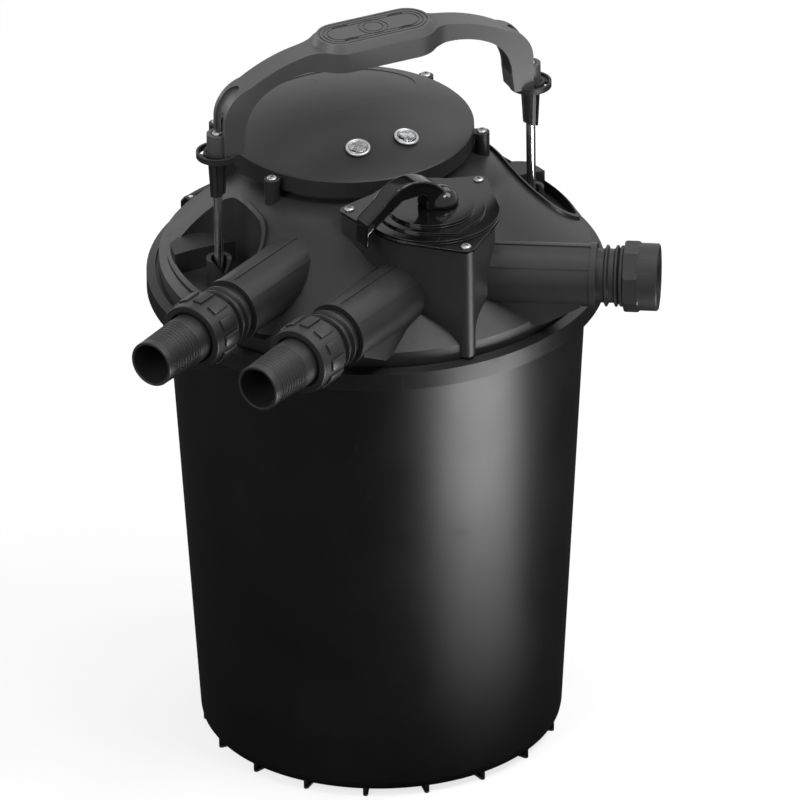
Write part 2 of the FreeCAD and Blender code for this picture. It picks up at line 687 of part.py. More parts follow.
def cable_gland():
    """Compression gland at the back of the lamp housing."""
    body = spun([(-8, 3.6), (-8, GLAND_R - SEAT), (0, GLAND_R - SEAT), (0, 9.5), (6, 9.5), (6, 8), (14, 7),
                 (14, 3.6)])
    body.translate(V(COLLAR_R + GAP, 0, PLATEAU - GLAND_DROP))
    return at_gland(body)


def ballast():
    """Potted driver for the lamp, standing on the housing's floor."""
    x, y0, y1 = 34.0, HOUSING_Y + 10, HOUSING_Y + 58
    case = box(-x, x, y0, y1, PLATEAU, PLATEAU + 19)
    lid_edge = box(-x - 3, x + 3, y0 + 6, y0 + 16, PLATEAU, PLATEAU + 3)
    return fuse(case, lid_edge)


def quartz_sleeve():
    """Closed glass tube with a round end that keeps the lamp dry."""
    top = PLATEAU + 9
    foot = top - QUARTZ_LEN
    inner = QUARTZ_R - QUARTZ_WALL
    pip = 1.5
    return turned([
        (QUARTZ_R, top), (QUARTZ_R, foot + QUARTZ_R), ((QUARTZ_R * 0.75, foot + QUARTZ_R * 0.33), (pip, foot)),
        (0, foot), (0, foot + QUARTZ_WALL), (pip, foot + QUARTZ_WALL),
        ((inner * 0.75, foot + QUARTZ_R - inner * 0.67), (inner, foot + QUARTZ_R)), (inner, top),
    ])


def quartz_nut():
    """Ring nut that squeezes the seal round the glass."""
    body = ring_wall(QUARTZ_R + GAP, QUARTZ_R + 9, PLATEAU, PLATEAU + 7)
    notches = [turn(box(QUARTZ_R + 6, QUARTZ_R + 12, -2, 2, PLATEAU + 2, PLATEAU + 9), i * 60) for i in range(6)]
    return body.cut(notches)


def uv_lamp():
    """Twin-tube lamp hanging in the glass: two legs joined at their foot."""
    top = PLATEAU - 4
    legs = [cyl(LAMP_R - 2.2, top - QUARTZ_LEN + 34, top, s * 5.3, 0) for s in (-1, 1)]
    bridge = box(-5.3, 5.3, -3, 3, top - QUARTZ_LEN + 38, top - QUARTZ_LEN + 44)
    return fuse(legs[0], bridge, legs[1])


def lamp_holder():
    top = PLATEAU + 2
    return fuse(cyl(QUARTZ_R - QUARTZ_WALL - SEAT, top - 6, top + 7), cyl(QUARTZ_R + 2, top + 7, top + 15))


def lamp_tube():
    """Flow tube round the glass, with outlet slots at its foot and the shoulder that carries the grid."""
    top = PLATEAU - WALL - 2
    inner = LAMP_TUBE_R - LAMP_TUBE_WALL
    tube = ring_wall(inner, LAMP_TUBE_R, LAMP_TUBE_FOOT, top)
    shoulder = ring_wall(inner, LAMP_TUBE_R + 9, GRID_Z - 3, GRID_Z)
    hole = Part.makeCylinder(STUB_BORE, LAMP_TUBE_R + 5, V(0, 0, PORT_Z), V(0, -1, 0))
    slots = [turn(box(inner - 4, LAMP_TUBE_R + 4, -5, 5, LAMP_TUBE_FOOT - 1, LAMP_TUBE_FOOT + 16), i * 60)
             for i in range(6)]
    return fuse(tube, shoulder).cut([hole] + slots)


# Foam stack


def slotted_disc(radius, z0, z1, hub_hole, rod_hole):
    disc = cyl(radius, z0, z1).cut([cyl(hub_hole, z0 - 1, z1 + 1), cyl(rod_hole, z0 - 1, z1 + 1, ROD_X, 0),
                                    cyl(rod_hole, z0 - 1, z1 + 1, -ROD_X, 0)])
    slots = []
    for at_r, count, width in ((58, 8, 20), (92, 10, 22), (124, 12, 22)):
        slot = box(at_r - width / 2, at_r + width / 2, -7, 7, z0 - 1, z1 + 1)
        slots += [turn(slot, (i + 0.5) * 360.0 / count) for i in range(count)]
    return disc.cut(slots)


def top_grid():
    return slotted_disc(GRID_R, GRID_Z, GRID_Z + GRID_T, LAMP_TUBE_R + SEAT, ROD_R + 0.5)


def press_plate():
    return slotted_disc(PRESS_R, PRESS_REST, PRESS_REST + PRESS_T, LAMP_TUBE_R + 0.6, ROD_R)


def foam_disc(index):
    z0, z1 = PRESS_REST + PRESS_T + GAP, GRID_Z - 3 - GAP
    step = (z1 - z0) / FOAM_COUNT
    low = z0 + index * step
    disc = cyl(FOAM_R, low, low + step - GAP)
    return disc.cut([cyl(LAMP_TUBE_R + 0.8, low - 1, low + step + 1),
                     cyl(ROD_R + 0.8, low - 1, low + step + 1, ROD_X, 0),
                     cyl(ROD_R + 0.8, low - 1, low + step + 1, -ROD_X, 0)])


# Pull handle


def rod():
    """Stainless rod from the handle's boss to the press plate, with a tapped hole in its upper end."""
    top = RIM_Z + LEG_FOOT + ROD_SEAT
    return cyl(ROD_R, PRESS_REST - 7, top, ROD_X, 0).cut(cyl(SCREW_R, top - SCREW_LEN, top + 1, ROD_X, 0))


def rod_nut():
    return prism([at(6.4, a)[:2] for a in range(0, 360, 60)], PRESS_REST - 5, PRESS_REST)


def rod_nuts():
    nut = rod_nut()
    nut.translate(V(ROD_X, 0, 0))
    nut = nut.cut(cyl(ROD_R, 0, RIM_Z, ROD_X, 0))
    nut = nut.common(cyl(PRESS_R - 0.2, 0, RIM_Z))
    return group([nut, mirrored(nut)])


def rod_bush():
    """Guide bush and lip seal in the socket of a pocket."""
    top = RIM_Z + POCKET_FLOOR + 1
    low = top - BUSH_LEN
    body = ring_wall(ROD_R + RUN, BUSH_R - SEAT, low, top, ROD_X, 0)
    collar = ring_wall(ROD_R + RUN, BUSH_R + 3, low, RIM_Z + POCKET_FLOOR - POCKET_WALL, ROD_X, 0)
    return fuse(body, collar)


def rod_sleeve():
    """Rimmed disc with four windows and the finned, tapering shank below it that drops into the socket."""
    top = RIM_Z + LEG_FOOT - GAP
    low = top - SLEEVE_LEN
    rims = fuse(ring_wall(DISC_R - DISC_RIM, DISC_R, top - 1, top + DISC_RIM, ROD_X, 0),
                ring_wall(HANDLE_BOSS_R + 1, HANDLE_BOSS_R + 1 + DISC_RIM, top - 1, top + DISC_RIM, ROD_X, 0))
    leg_way = box(LEG_IN_X - 20, ROD_X, -HANDLE_W / 2 - 1, HANDLE_W / 2 + 1, top, top + 10)
    disc = fuse(cyl(DISC_R, top - DISC_T, top, ROD_X, 0), rims.cut(leg_way))
    windows = []
    for i in range(4):
        window = ring_wall(DISC_R - 6, DISC_R - 2.5, top - 8, top + 2).common(
            turn(box(0, DISC_R + 5, -6, 6, top - 9, top + 3), 45 + i * 90))
        window.translate(V(ROD_X, 0, 0))
        windows.append(window)
    core = Part.makeCone(SLEEVE_TIP_W * 0.42, SLEEVE_TOP_W * 0.42, SLEEVE_LEN, V(ROD_X, 0, low))
    fins = []
    for a in (0, 45, 90, 135):
        t, w = SLEEVE_TOP_W / 2, SLEEVE_TIP_W / 2
        fin = slab([(-w, low), (w, low), (t, top - 1), (-t, top - 1)], -1.5, 1.5)
        fin.rotate(ORIGIN, UP, a)
        fin.translate(V(ROD_X, 0, 0))
        fins.append(fin)
    body = fuse(disc.cut(windows), core, *fins)
    tip = slab([(ROD_X - 12, low - 1), (ROD_X + 12, low - 1), (ROD_X - 12, low + 7)], -15, 15)
    return body.cut([tip, cyl(ROD_R, low - 5, top + 5, ROD_X, 0)])


def half_arch(inset, open_by):
    """Side view of the handle's right half, moved in by inset; open_by lowers its underside and its foot."""
    x_out, x_in = LEG_OUT_X - inset, LEG_IN_X - open_by
    top, under = RIM_Z + ARM_TOP - inset, RIM_Z + ARM_UNDER - open_by
    foot = RIM_Z + LEG_FOOT - open_by
    pad_x = PAD_LEN / 2
    bend_x = x_out - 25
    return [
        (0, top), (pad_x, top),
        (((pad_x + bend_x) / 2 + 3, top - 7), (bend_x, top - 20)),
        ((x_out - 5, top - 34), (x_out, top - 52)),
        (x_out, foot), (x_in, foot), (x_in - 2, foot + 17),
        ((x_in - 8, under - 24), (x_in - 22, under - 10)),
        (((pad_x + x_in - 22) / 2 + 4, under - 2), (pad_x, under)), (0, under),
    ]


def half_plan(inset):
    """Top view of the handle's right half, moved in by inset: the pad runs into the arm through concave arcs."""
    pad_r, arm, blend = PAD_W / 2 - inset, HANDLE_W / 2 - inset, PAD_BLEND + inset
    cap_x = (PAD_LEN - PAD_W) / 2
    rise = arm + blend
    blend_x = cap_x + sqrt((pad_r + blend) ** 2 - rise ** 2)
    lean = degrees(atan2(rise, blend_x - cap_x))
    meet = tuple(at(pad_r, lean, 0, cap_x, 0)[:2])
    cap = tuple(at(pad_r, (lean + 90) / 2, 0, cap_x, 0)[:2])
    hollow = tuple(at(blend, (lean + 180 + 270) / 2, 0, blend_x, rise)[:2])
    quarter = prism([(0, 0), (LEG_OUT_X, 0), (LEG_OUT_X, arm), (blend_x, arm), (hollow, meet),
                     (cap, (cap_x, pad_r)), (0, pad_r)], RIM_Z + LEG_FOOT - 40, RIM_Z + ARM_TOP + 10)
    return quarter.fuse(quarter.mirror(ORIGIN, V(0, 1, 0)))


def leg_slot():
    """Shallow slot with a round top that follows the outside of the right leg above its boss."""
    r = SLOT_W / 2
    low, high = RIM_Z + HANDLE_BOSS_TOP - 2, RIM_Z + SLOT_TOP - r
    x0 = LEG_IN_X - LEG_DEPTH
    tall = box(x0, LEG_OUT_X + 5, -r, r, low, high)
    end = Part.makeCylinder(r, LEG_OUT_X + 5 - x0, V(x0, 0, high), V(1, 0, 0))
    return fuse(tall, end).cut(slab(half_arch(SLOT_DEPTH, 60), -PAD_W, PAD_W))


def handle():
    """Moulded arch: two channel-section arms that swell into a wide pad with a raised grip."""
    wide = PAD_W
    foot, boss_top = RIM_Z + LEG_FOOT, RIM_Z + HANDLE_BOSS_TOP
    half = slab(half_arch(0, 0), -wide, wide).common(half_plan(0))
    channel = slab(half_arch(HANDLE_WALL, 30), -wide, wide).common(half_plan(HANDLE_WALL))
    channel = channel.cut(box(LEG_IN_X - 4, LEG_OUT_X, -HANDLE_W / 2, HANDLE_W / 2, foot, foot + 16))
    half = half.cut([channel, leg_slot()])
    half = fuse(half, cyl(HANDLE_BOSS_R, foot, boss_top, ROD_X, 0))
    half = half.cut([cyl(ROD_R, foot - 1, foot + ROD_SEAT, ROD_X, 0), cyl(SCREW_R, foot, boss_top + 1, ROD_X, 0),
                     cyl(SCREW_HEAD_R + 1.2, boss_top - 1, boss_top + 20, ROD_X, 0)])
    body = fuse(half, mirrored(half), raised_grip())
    return body.cut(pad_cuts())


def stadium_wire(length, width, z):
    r = width / 2
    half = length / 2 - r
    outline = [(-half, -r), (half, -r), ((half + r, 0), (half, r)), (-half, r), ((-half - r, 0), (-half, -r))]
    return closed_wire(outline, lambda p: V(p[0], p[1], z))


def stadium(length, width, z0, z1):
    return Part.Face(stadium_wire(length, width, z0)).extrude(V(0, 0, z1 - z0))


def raised_grip():
    """Grip that stands on the pad with sloping sides."""
    lean = 2 * PAD_SLOPE
    foot = stadium_wire(PAD_LEN - 2, PAD_W - 2, RIM_Z + ARM_TOP - 1)
    head = stadium_wire(PAD_LEN - lean, PAD_W - lean, RIM_Z + ARM_TOP + PAD_RISE)
    return Part.makeLoft([foot, head], True, True)


def pad_cuts():
    """Three stadium grooves round the top of the grip, four almond recesses across them and a middle ring."""
    top = RIM_Z + ARM_TOP + PAD_RISE
    length, width = PAD_LEN - 2 * PAD_SLOPE, PAD_W - 2 * PAD_SLOPE
    cuts = []
    for i in range(3):
        inset = 4 + i * 7
        outer = stadium(length - inset, width - inset, top - 0.9, top + 1)
        cuts.append(outer.cut(stadium(length - inset - 2.6, width - inset - 2.6, top - 2, top + 2)))
    for r in (PAD_RING_R, PAD_RING_R - 4):
        cuts.append(ring_wall(r - 1.2, r, top - 0.8, top + 1))
    for x in (-length / 4, length / 4):
        for y in (-width / 4 - 2, width / 4 + 2):
            almond = cyl(14, top - 2, top + 1, x, y - 11.5).common(cyl(14, top - 2, top + 1, x, y + 11.5))
            cuts.append(almond)
    return cuts


def handle_screws():
    screw = pan_head(RIM_Z + HANDLE_BOSS_TOP - 1, ROD_X, 0)
    return group([screw, mirrored(screw)])


# Valve


def lobed(main_r, ear_at, ear_r, z0, z1):
    """Disc on the valve's axis that reaches out at a tangent towards the three ears."""
    half = tangent_half(main_r, ear_at, ear_r)
    lobes = [ear_lobe(z0, z1, a, main_r, half, ear_at, ear_r) for a in EAR_ANGLES]
    return fuse(cyl(main_r, z0, z1, 0, VALVE_Y), *lobes)


def valve_cover():
    """Glossy cover: a flange with three low screw ears, a round plate and two raised fields on it."""
    low = VALVE_TOP - PLATE_T
    flange = lobed(PLATE_R, EAR_AT_R, EAR_R + 1, low, EAR_TOP)
    plate = cyl(PLATE_R - 1, low, VALVE_TOP, 0, VALVE_Y)
    ridge = lobed(RIDGE_R, RIDGE_AT_R, RIDGE_EAR_R, VALVE_TOP - 1, VALVE_TOP + RIDGE_RISE)
    step = cyl(ROUND_R, VALVE_TOP - 1, VALVE_TOP + ROUND_RISE, 0, VALVE_Y)
    spigot = ring_wall(CHAMBER_R - 6, CHAMBER_R - SEAT, low - 4, low, 0, VALVE_Y)
    body = fuse(flange, plate, ridge, step, spigot)
    cuts = [cyl(SCREW_R, low - 1, VALVE_TOP + 1, *at(EAR_AT_R, a, 0, 0, VALVE_Y)[:2]) for a in EAR_ANGLES]
    return body.cut(cuts + [cyl(SPINDLE_R, low - 10, VALVE_TOP + 10, 0, VALVE_Y)])


def valve_cover_screws():
    return group([pan_head(EAR_TOP, *at(EAR_AT_R, a, 0, 0, VALVE_Y)[:2]) for a in EAR_ANGLES])


def valve_rotor():
    """Hollow drum with two windows, and the spindle that carries the lever."""
    low, top = RIM_Z + CHAMBER_FLOOR + GAP, VALVE_TOP - PLATE_T - 4 - GAP
    drum = ring_wall(CHAMBER_R - 5, CHAMBER_R - GAP, low, top, 0, VALVE_Y)
    lid_disc = cyl(CHAMBER_R - GAP, top - 4, top, 0, VALVE_Y)
    spindle = cyl(SPINDLE_R - RUN, top - 2, VALVE_TOP + SPINDLE_RISE, 0, VALVE_Y)
    body = fuse(drum, lid_disc, spindle)
    windows = []
    for angle in (PORT_DEG, 90):
        window = Part.makeCylinder(STUB_BORE, CHAMBER_R + 10, V(0, VALVE_Y, PORT_Z), at(1, angle))
        windows.append(window)
    return body.cut(windows)


def valve_lever():
    """Domed hub with the arched finger lever that reaches over the cover's edge."""
    foot, top = LEVER_FOOT, RIM_Z + LEVER_TOP
    tip_x, tip_z = LEVER_REACH, RIM_Z + LEVER_DROP
    hub = Part.makeSphere(HUB_R, V(-HUB_BACK, 0, foot)).common(cyl(2 * HUB_R, foot, foot + HUB_R + 1, -HUB_BACK, 0))
    side_view = [(-HUB_BACK, top - 18.5), ((6, top - 4.5), (tip_x - 47, top)),
                 ((tip_x - 30, top - 4.5), (tip_x - 18, top - 14.5)), (tip_x - 1, top - 27),
                 (tip_x, tip_z + 1), (tip_x - 1, tip_z), (tip_x - 1.8, tip_z), (tip_x - 2.9, tip_z + 4),
                 (tip_x - 3.4, EAR_TOP + 0.8), ((tip_x - 21, top - 26), (tip_x - 38, top - 15)),
                 (2 * SPINDLE_R, top - 15), ((SPINDLE_R + 3, top - 18), (SPINDLE_R + 2, foot + 6)),
                 (SPINDLE_R + 2, foot), (-HUB_BACK, foot)]
    arm = slab(side_view, -LEVER_W / 2, LEVER_W / 2)
    lever = fuse(hub, arm)
    lever.rotate(ORIGIN, UP, LEVER_DEG)
    lever.translate(V(0, VALVE_Y, 0))
    return lever.cut(cyl(SPINDLE_R - RUN, foot - 5, VALVE_TOP + SPINDLE_RISE, 0, VALVE_Y))


# Unions


def union_nut():
    """Nut with a plain front ring and twelve grip pads behind it, along +X from the tube's end."""
    x0, x1 = NUT_START, NUT_START + NUT_LEN
    inner = THREAD_R + GAP
    front = TAIL_R + 1.6
    outline = [(x0, inner), (x0, NUT_R - 1), (x0 + 1, NUT_R), (x1 - 1, NUT_R), (x1, NUT_R - 1), (x1, front),
               (x1 - NUT_LIP, front), (x1 - NUT_LIP, inner)]
    body = spun(outline)
    pads = []
    width = 2 * pi * NUT_R / NUT_PADS * 0.62
    for i in range(NUT_PADS):
        pad = box(x0 + 1.5, x0 + 20, -width / 2, width / 2, NUT_R - 3, NUT_R + NUT_PAD)
        pad.rotate(ORIGIN, V(1, 0, 0), i * 360.0 / NUT_PADS)
        pads.append(pad)
    bore = spun([(x0 - 5, 0), (x0 - 5, inner), (x1 - NUT_LIP, inner), (x1 - NUT_LIP, 0)])
    return fuse(body, *pads).cut(bore)


def hose_tail():
    """Tapered spigot with fine rings, and the flange that its nut holds against the stub."""
    seat = STUB_LEN + FLANGE_SEAL_T
    face = NUT_START + NUT_LEN
    shoulder = face - NUT_LIP - GAP
    tip = face + TAIL_LEN
    ring_from, ring_to = face + 14.0, tip - TAIL_LAND
    pitch = (ring_to - ring_from) / TAIL_RINGS
    outline = [(seat, TAIL_BORE), (seat, THREAD_R - 0.6), (shoulder, THREAD_R - 0.6), (shoulder, TAIL_R)]
    for i in range(TAIL_RINGS):
        x = ring_from + i * pitch
        share = (x - ring_from) / (ring_to - ring_from)
        r = TAIL_R + (TAIL_TIP_R - TAIL_R) * share
        outline += [(x, r), (x + 0.3, r - 0.7), (x + pitch - 0.3, r - 0.25)]
    outline += [(ring_to, TAIL_TIP_R), (tip - 1, TAIL_TIP_R), (tip, TAIL_TIP_R - 1), (tip, TAIL_BORE)]
    return spun(outline)


def pipe_socket():
    """Adapter on the side port: an eight-sided grip that screws over the stub, and a socket for a pipe."""
    x0, face = GRIP_START, GRIP_START + GRIP_LEN
    end = face + SOCKET_LEN
    stop = SIDE_STUB_LEN + FLANGE_SEAL_T
    grip = prism([at(GRIP_R, 22.5 + i * 45)[:2] for i in range(8)], x0, face)
    grip.rotate(ORIGIN, V(0, 1, 0), 90)
    round_off = spun([(x0, 0), (x0, GRIP_R - 1.2), (x0 + 1.5, GRIP_R), (face - 1.5, GRIP_R), (face, GRIP_R - 1.2),
                      (face, 0)])
    sleeve = spun([(face - 2, 0), (face - 2, SOCKET_R), (end - 1.2, SOCKET_R), (end, SOCKET_R - 1.2), (end, 0)])
    inner = THREAD_R + GAP
    bore = spun([(x0 - 1, 0), (x0 - 1, inner), (stop, inner), (stop, STUB_BORE), (stop + 2, STUB_BORE),
                 (stop + 2, SOCKET_BORE), (end + 1, SOCKET_BORE), (end + 1, 0)])
    return fuse(grip.common(round_off), sleeve).cut(bore)


def union_seal(stub):
    inner, end = STUB_BORE + 0.5, stub + FLANGE_SEAL_T
    return spun([(stub, inner), (stub, STUB_R), (end, STUB_R), (end, inner)])


def side_ring():
    """Rubber ring between the stub's threads and the adapter's grip."""
    x = (THREAD_PITCH * 2 + THREAD_T + GRIP_START) / 2
    return spun([(x - 1.6, STUB_R), ((x, STUB_R + 3.0), (x + 1.6, STUB_R))])


def on_port(shape, name):
    """Copy of a union piece, which is made from the tube's end, on a named port."""
    centre_y, angle, length = PORTS[name][:3]
    moved = shape.copy()
    moved.translate(V(length, 0, 0))
    return to_port(moved, centre_y, angle)


def build():
    parts = {
        "bucket": bucket(),
        "lid": lid(),
        "lid_seal": lid_seal(),
        "clamp_ring": fuse(clamp_ring(), *clamp_bracket()),
        "clamp_lever": clamp_lever(),
        "clamp_pins": clamp_pins(),
        "uv_cover": uv_cover(),
        "uv_cover_seal": uv_cover_seal(),
        "uv_cover_screws": uv_cover_screws(),
        "indicator_lenses": indicator_lenses(),
        "cable_gland": cable_gland(),
        "ballast": ballast(),
        "quartz_sleeve": quartz_sleeve(),
        "quartz_nut": quartz_nut(),
        "uv_lamp": uv_lamp(),
        "lamp_holder": lamp_holder(),
        "lamp_tube": lamp_tube(),
        "top_grid": top_grid(),
        "press_plate": press_plate(),
        "rod_left": mirrored(rod()),
        "rod_right": rod(),
        "rod_nuts": rod_nuts(),
        "rod_bush_left": mirrored(rod_bush()),
        "rod_bush_right": rod_bush(),
        "rod_sleeve_left": mirrored(rod_sleeve()),
        "rod_sleeve_right": rod_sleeve(),
        "handle": handle(),
        "handle_screws": handle_screws(),
        "valve_cover": valve_cover(),
        "valve_cover_screws": valve_cover_screws(),
        "valve_rotor": valve_rotor(),
        "valve_lever": valve_lever(),
        "hose_tail_tank": on_port(hose_tail(), "tank"),
        "hose_tail_inlet": on_port(hose_tail(), "inlet"),
        "pipe_socket": on_port(pipe_socket(), "side"),
        "union_nut_tank": on_port(union_nut(), "tank"),
        "union_nut_inlet": on_port(union_nut(), "inlet"),
        "union_seal_tank": on_port(union_seal(STUB_LEN), "tank"),
        "union_seal_inlet": on_port(union_seal(STUB_LEN), "inlet"),
        "union_seal_side": on_port(union_seal(SIDE_STUB_LEN), "side"),
        "side_port_ring": on_port(side_ring(), "side"),
        "foam_discs": group([foam_disc(i) for i in range(FOAM_COUNT)]),
    }
    return parts


os.makedirs("parts", exist_ok=True)
for node, shape in build().items():
    shape.exportStep("parts/%s.step" % node)
    print("%-20s solids %d  valid %s" % (node, len(shape.Solids), shape.isValid()))
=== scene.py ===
# %% [markdown]
# A garden pond's pressure filter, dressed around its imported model. Every node of the model arrives at its real
# place and size, in metres, with +Z up. This script gives each one its finish, rebuilds the pieces whose roundness
# or small forms matter in a picture, and sets up a plain studio. A helper comes with the first step that needs it.

# %% Load the frame
import bpy, bmesh
import json
from math import sin, cos, acos, atan2, sqrt, radians, pi
from mathutils import Vector, Matrix


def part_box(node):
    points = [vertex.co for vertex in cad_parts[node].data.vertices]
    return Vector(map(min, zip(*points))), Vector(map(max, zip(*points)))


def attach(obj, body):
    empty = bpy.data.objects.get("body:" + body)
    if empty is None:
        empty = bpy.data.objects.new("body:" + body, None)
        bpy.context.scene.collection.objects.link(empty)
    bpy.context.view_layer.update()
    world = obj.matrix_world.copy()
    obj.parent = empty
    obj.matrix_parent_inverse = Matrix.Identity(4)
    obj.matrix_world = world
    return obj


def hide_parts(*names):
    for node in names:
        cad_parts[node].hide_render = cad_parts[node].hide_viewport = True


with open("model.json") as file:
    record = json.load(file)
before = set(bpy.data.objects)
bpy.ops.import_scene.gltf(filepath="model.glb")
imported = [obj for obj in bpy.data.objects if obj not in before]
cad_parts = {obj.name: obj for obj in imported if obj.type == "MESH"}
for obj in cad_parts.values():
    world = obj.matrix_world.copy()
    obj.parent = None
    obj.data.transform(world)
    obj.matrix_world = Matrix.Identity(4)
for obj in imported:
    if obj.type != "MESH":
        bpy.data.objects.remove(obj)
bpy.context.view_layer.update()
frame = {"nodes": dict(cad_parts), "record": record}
NODES, RECORD = frame["nodes"], frame["record"]
BODY_OF = {node: body for body, members in RECORD["behaviour"]["bodies"].items() for node in members}
SLOT_OF = {part["node"]: part["material_slot"] for part in RECORD["subparts"]}
SCENE = bpy.context.scene

# %% [markdown]
# The photograph was taken with a long lens from above the front left, so its lines are almost parallel. The
# camera repeats that: far away, with a very long lens, and moved sideways in its own plane until the middle of
# the clamp ring's top falls on the right pixel of an 800 by 800 picture.

# %% Camera
VIEW_TURN, VIEW_DROP, VIEW_ROLL = radians(-24.5), radians(28.5), 0.0122
PIXELS_PER_M = 1169.2
LENS_MM, SENSOR_MM, PICTURE = 1200.0, 36.0, 800
RING_PIXEL = (376, 263)
RING_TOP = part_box("clamp_ring")[1].z

back = Vector((sin(VIEW_TURN) * cos(VIEW_DROP), -cos(VIEW_TURN) * cos(VIEW_DROP), sin(VIEW_DROP)))
turn = (-back).to_track_quat("-Z", "Y").to_matrix() @ Matrix.Rotation(-VIEW_ROLL, 3, "Z")
side, up = turn.col[0], turn.col[1]
reach = LENS_MM / SENSOR_MM * PICTURE / PIXELS_PER_M
aim = Vector((0, 0, RING_TOP))
aim += side * ((PICTURE / 2 - RING_PIXEL[0]) / PIXELS_PER_M) - up * ((PICTURE / 2 - RING_PIXEL[1]) / PIXELS_PER_M)
camera = bpy.data.objects.new("camera", bpy.data.cameras.new("camera"))
SCENE.collection.objects.link(camera)
camera.data.lens, camera.data.sensor_width = LENS_MM, SENSOR_MM
camera.data.clip_start, camera.data.clip_end = 1.0, 200.0
camera.matrix_world = Matrix.Translation(aim + back * reach) @ turn.to_4x4()
SCENE.camera = camera
print("camera at", [round(c, 2) for c in camera.location], "reach", round(reach, 2))

# %% [markdown]
# Materials and Geometry Nodes are both trees of nodes, and building one node by node is wordy. Small helpers keep
# the trees below readable: they add a node, feed a socket with a number or a link, do arithmetic, mix two colours,
# lay a texture, map a range and stretch coordinates. The last one starts a group with named sockets.


# %% Helpers for node trees
def add(tree, kind, **settings):
    """A new node with its properties set."""
    made = tree.nodes.new(kind)
    for key, value in settings.items():
        setattr(made, key, value)
    return made


def socket(sockets, name):
    """The socket of that name which the node's settings leave switched on."""
    return next(s for s in sockets if s.name == name and s.enabled)


def feed(tree, value, target):
    """Puts a number, a colour or another node's output into a socket."""
    if isinstance(value, bpy.types.NodeSocket):
        tree.links.new(value, target)
    else:
        target.default_value = value


def calc(tree, operation, a, b=0.0, clamp=False):
    made = add(tree, "ShaderNodeMath", operation=operation, use_clamp=clamp)
    feed(tree, a, made.inputs[0])
    feed(tree, b, made.inputs[1])
    return made.outputs[0]


def mix_colour(tree, factor, a, b):
    made = add(tree, "ShaderNodeMix", data_type="RGBA")
    for value, target in zip((factor, a, b), (made.inputs[0], made.inputs[6], made.inputs[7])):
        feed(tree, value, target)
    return made.outputs[2]


def texture(tree, kind, vector, **values):
    """A texture node on the given coordinates, with its inputs set by name."""
    made = add(tree, kind)
    feed(tree, vector, made.inputs["Vector"])
    for name, value in values.items():
        feed(tree, value, made.inputs[name])
    return made


def ramp(tree, value, low, high, start=0.0, end=1.0):
    """Maps a value from low..high to start..end and stops at both."""
    made = add(tree, "ShaderNodeMapRange", clamp=True)
    given = {"Value": value, "From Min": low, "From Max": high, "To Min": start, "To Max": end}
    for name, item in given.items():
        feed(tree, item, made.inputs[name])
    return made.outputs[0]


def stretch(tree, vector, scale):
    """The coordinates with another scale along each axis."""
    made = add(tree, "ShaderNodeMapping")
    feed(tree, vector, made.inputs["Vector"])
    made.inputs["Scale"].default_value = scale
    return made.outputs[0]


KINDS = {"vector": "NodeSocketVector", "number": "NodeSocketFloat", "count": "NodeSocketInt",
         "object": "NodeSocketObject", "material": "NodeSocketMaterial", "geometry": "NodeSocketGeometry"}


def new_group(name, kind, inputs, outputs):
    """An empty node group with named sockets, and its two end nodes."""
    tree = bpy.data.node_groups.new(name, kind)
    for direction, sockets in (("INPUT", inputs), ("OUTPUT", outputs)):
        for label, socket_kind in sockets.items():
            tree.interface.new_socket(label, in_out=direction, socket_type=KINDS[socket_kind])
    return tree, add(tree, "NodeGroupInput").outputs, add(tree, "NodeGroupOutput").inputs


print("helpers ready for", ", ".join(KINDS))

# %% [markdown]
# Moulded plastic isn't smooth: the mould was spark-eroded, which leaves a fine pebble grain, and the resin's tone
# drifts a little over a large piece. Both are needed in most of the finishes, so they are one node group, with a
# height for the bump and a slow tone for colour and roughness.

# %% Grain of a spark-eroded mould
GRAIN, given, put = new_group("moulded_grain", "ShaderNodeTree", {"Vector": "vector", "Scale": "number"},
                              {"Height": "number", "Tone": "number"})
pebbles = texture(GRAIN, "ShaderNodeTexNoise", given["Vector"], Scale=given["Scale"], Detail=2.0)
pits = texture(GRAIN, "ShaderNodeTexVoronoi", given["Vector"], Scale=calc(GRAIN, "MULTIPLY", given["Scale"], 0.8))
feed(GRAIN, calc(GRAIN, "ADD", pebbles.outputs[0], calc(GRAIN, "MULTIPLY", pits.outputs["Distance"], 0.6)),
     put["Height"])
slow = texture(GRAIN, "ShaderNodeTexNoise", given["Vector"], Scale=9.0, Detail=4.0, Roughness=0.6)
feed(GRAIN, ramp(GRAIN, slow.outputs[0], 0.35, 0.65), put["Tone"])
print(GRAIN.name, [item.name for item in GRAIN.interface.items_tree])

# %% [markdown]
# Handling leaves hair-fine scratches. They are noise that is stretched a lot in one direction and cut off so that
# only its crests stay. Two directions are added, because one alone looks brushed.

# %% Fine scratches
MARKS, given, put = new_group("handling_marks", "ShaderNodeTree", {"Vector": "vector"}, {"Mask": "number"})
crests = []
for scale in ((22, 260, 40), (240, 30, 60)):
    lines = texture(MARKS, "ShaderNodeTexNoise", stretch(MARKS, given["Vector"], scale), Scale=1.0, Detail=3.0)
    crests.append(ramp(MARKS, lines.outputs[0], 0.66, 0.74))
feed(MARKS, calc(MARKS, "ADD", crests[0], crests[1], clamp=True), put["Mask"])
print(MARKS.name, "from", len(crests), "directions")

# %% [markdown]
# Dust settles where a surface looks up. The object's own normal says how far it does, and a cloudy noise breaks
# the layer up. The amount stays small: this is a clean product with the dull bloom that black plastic gets.

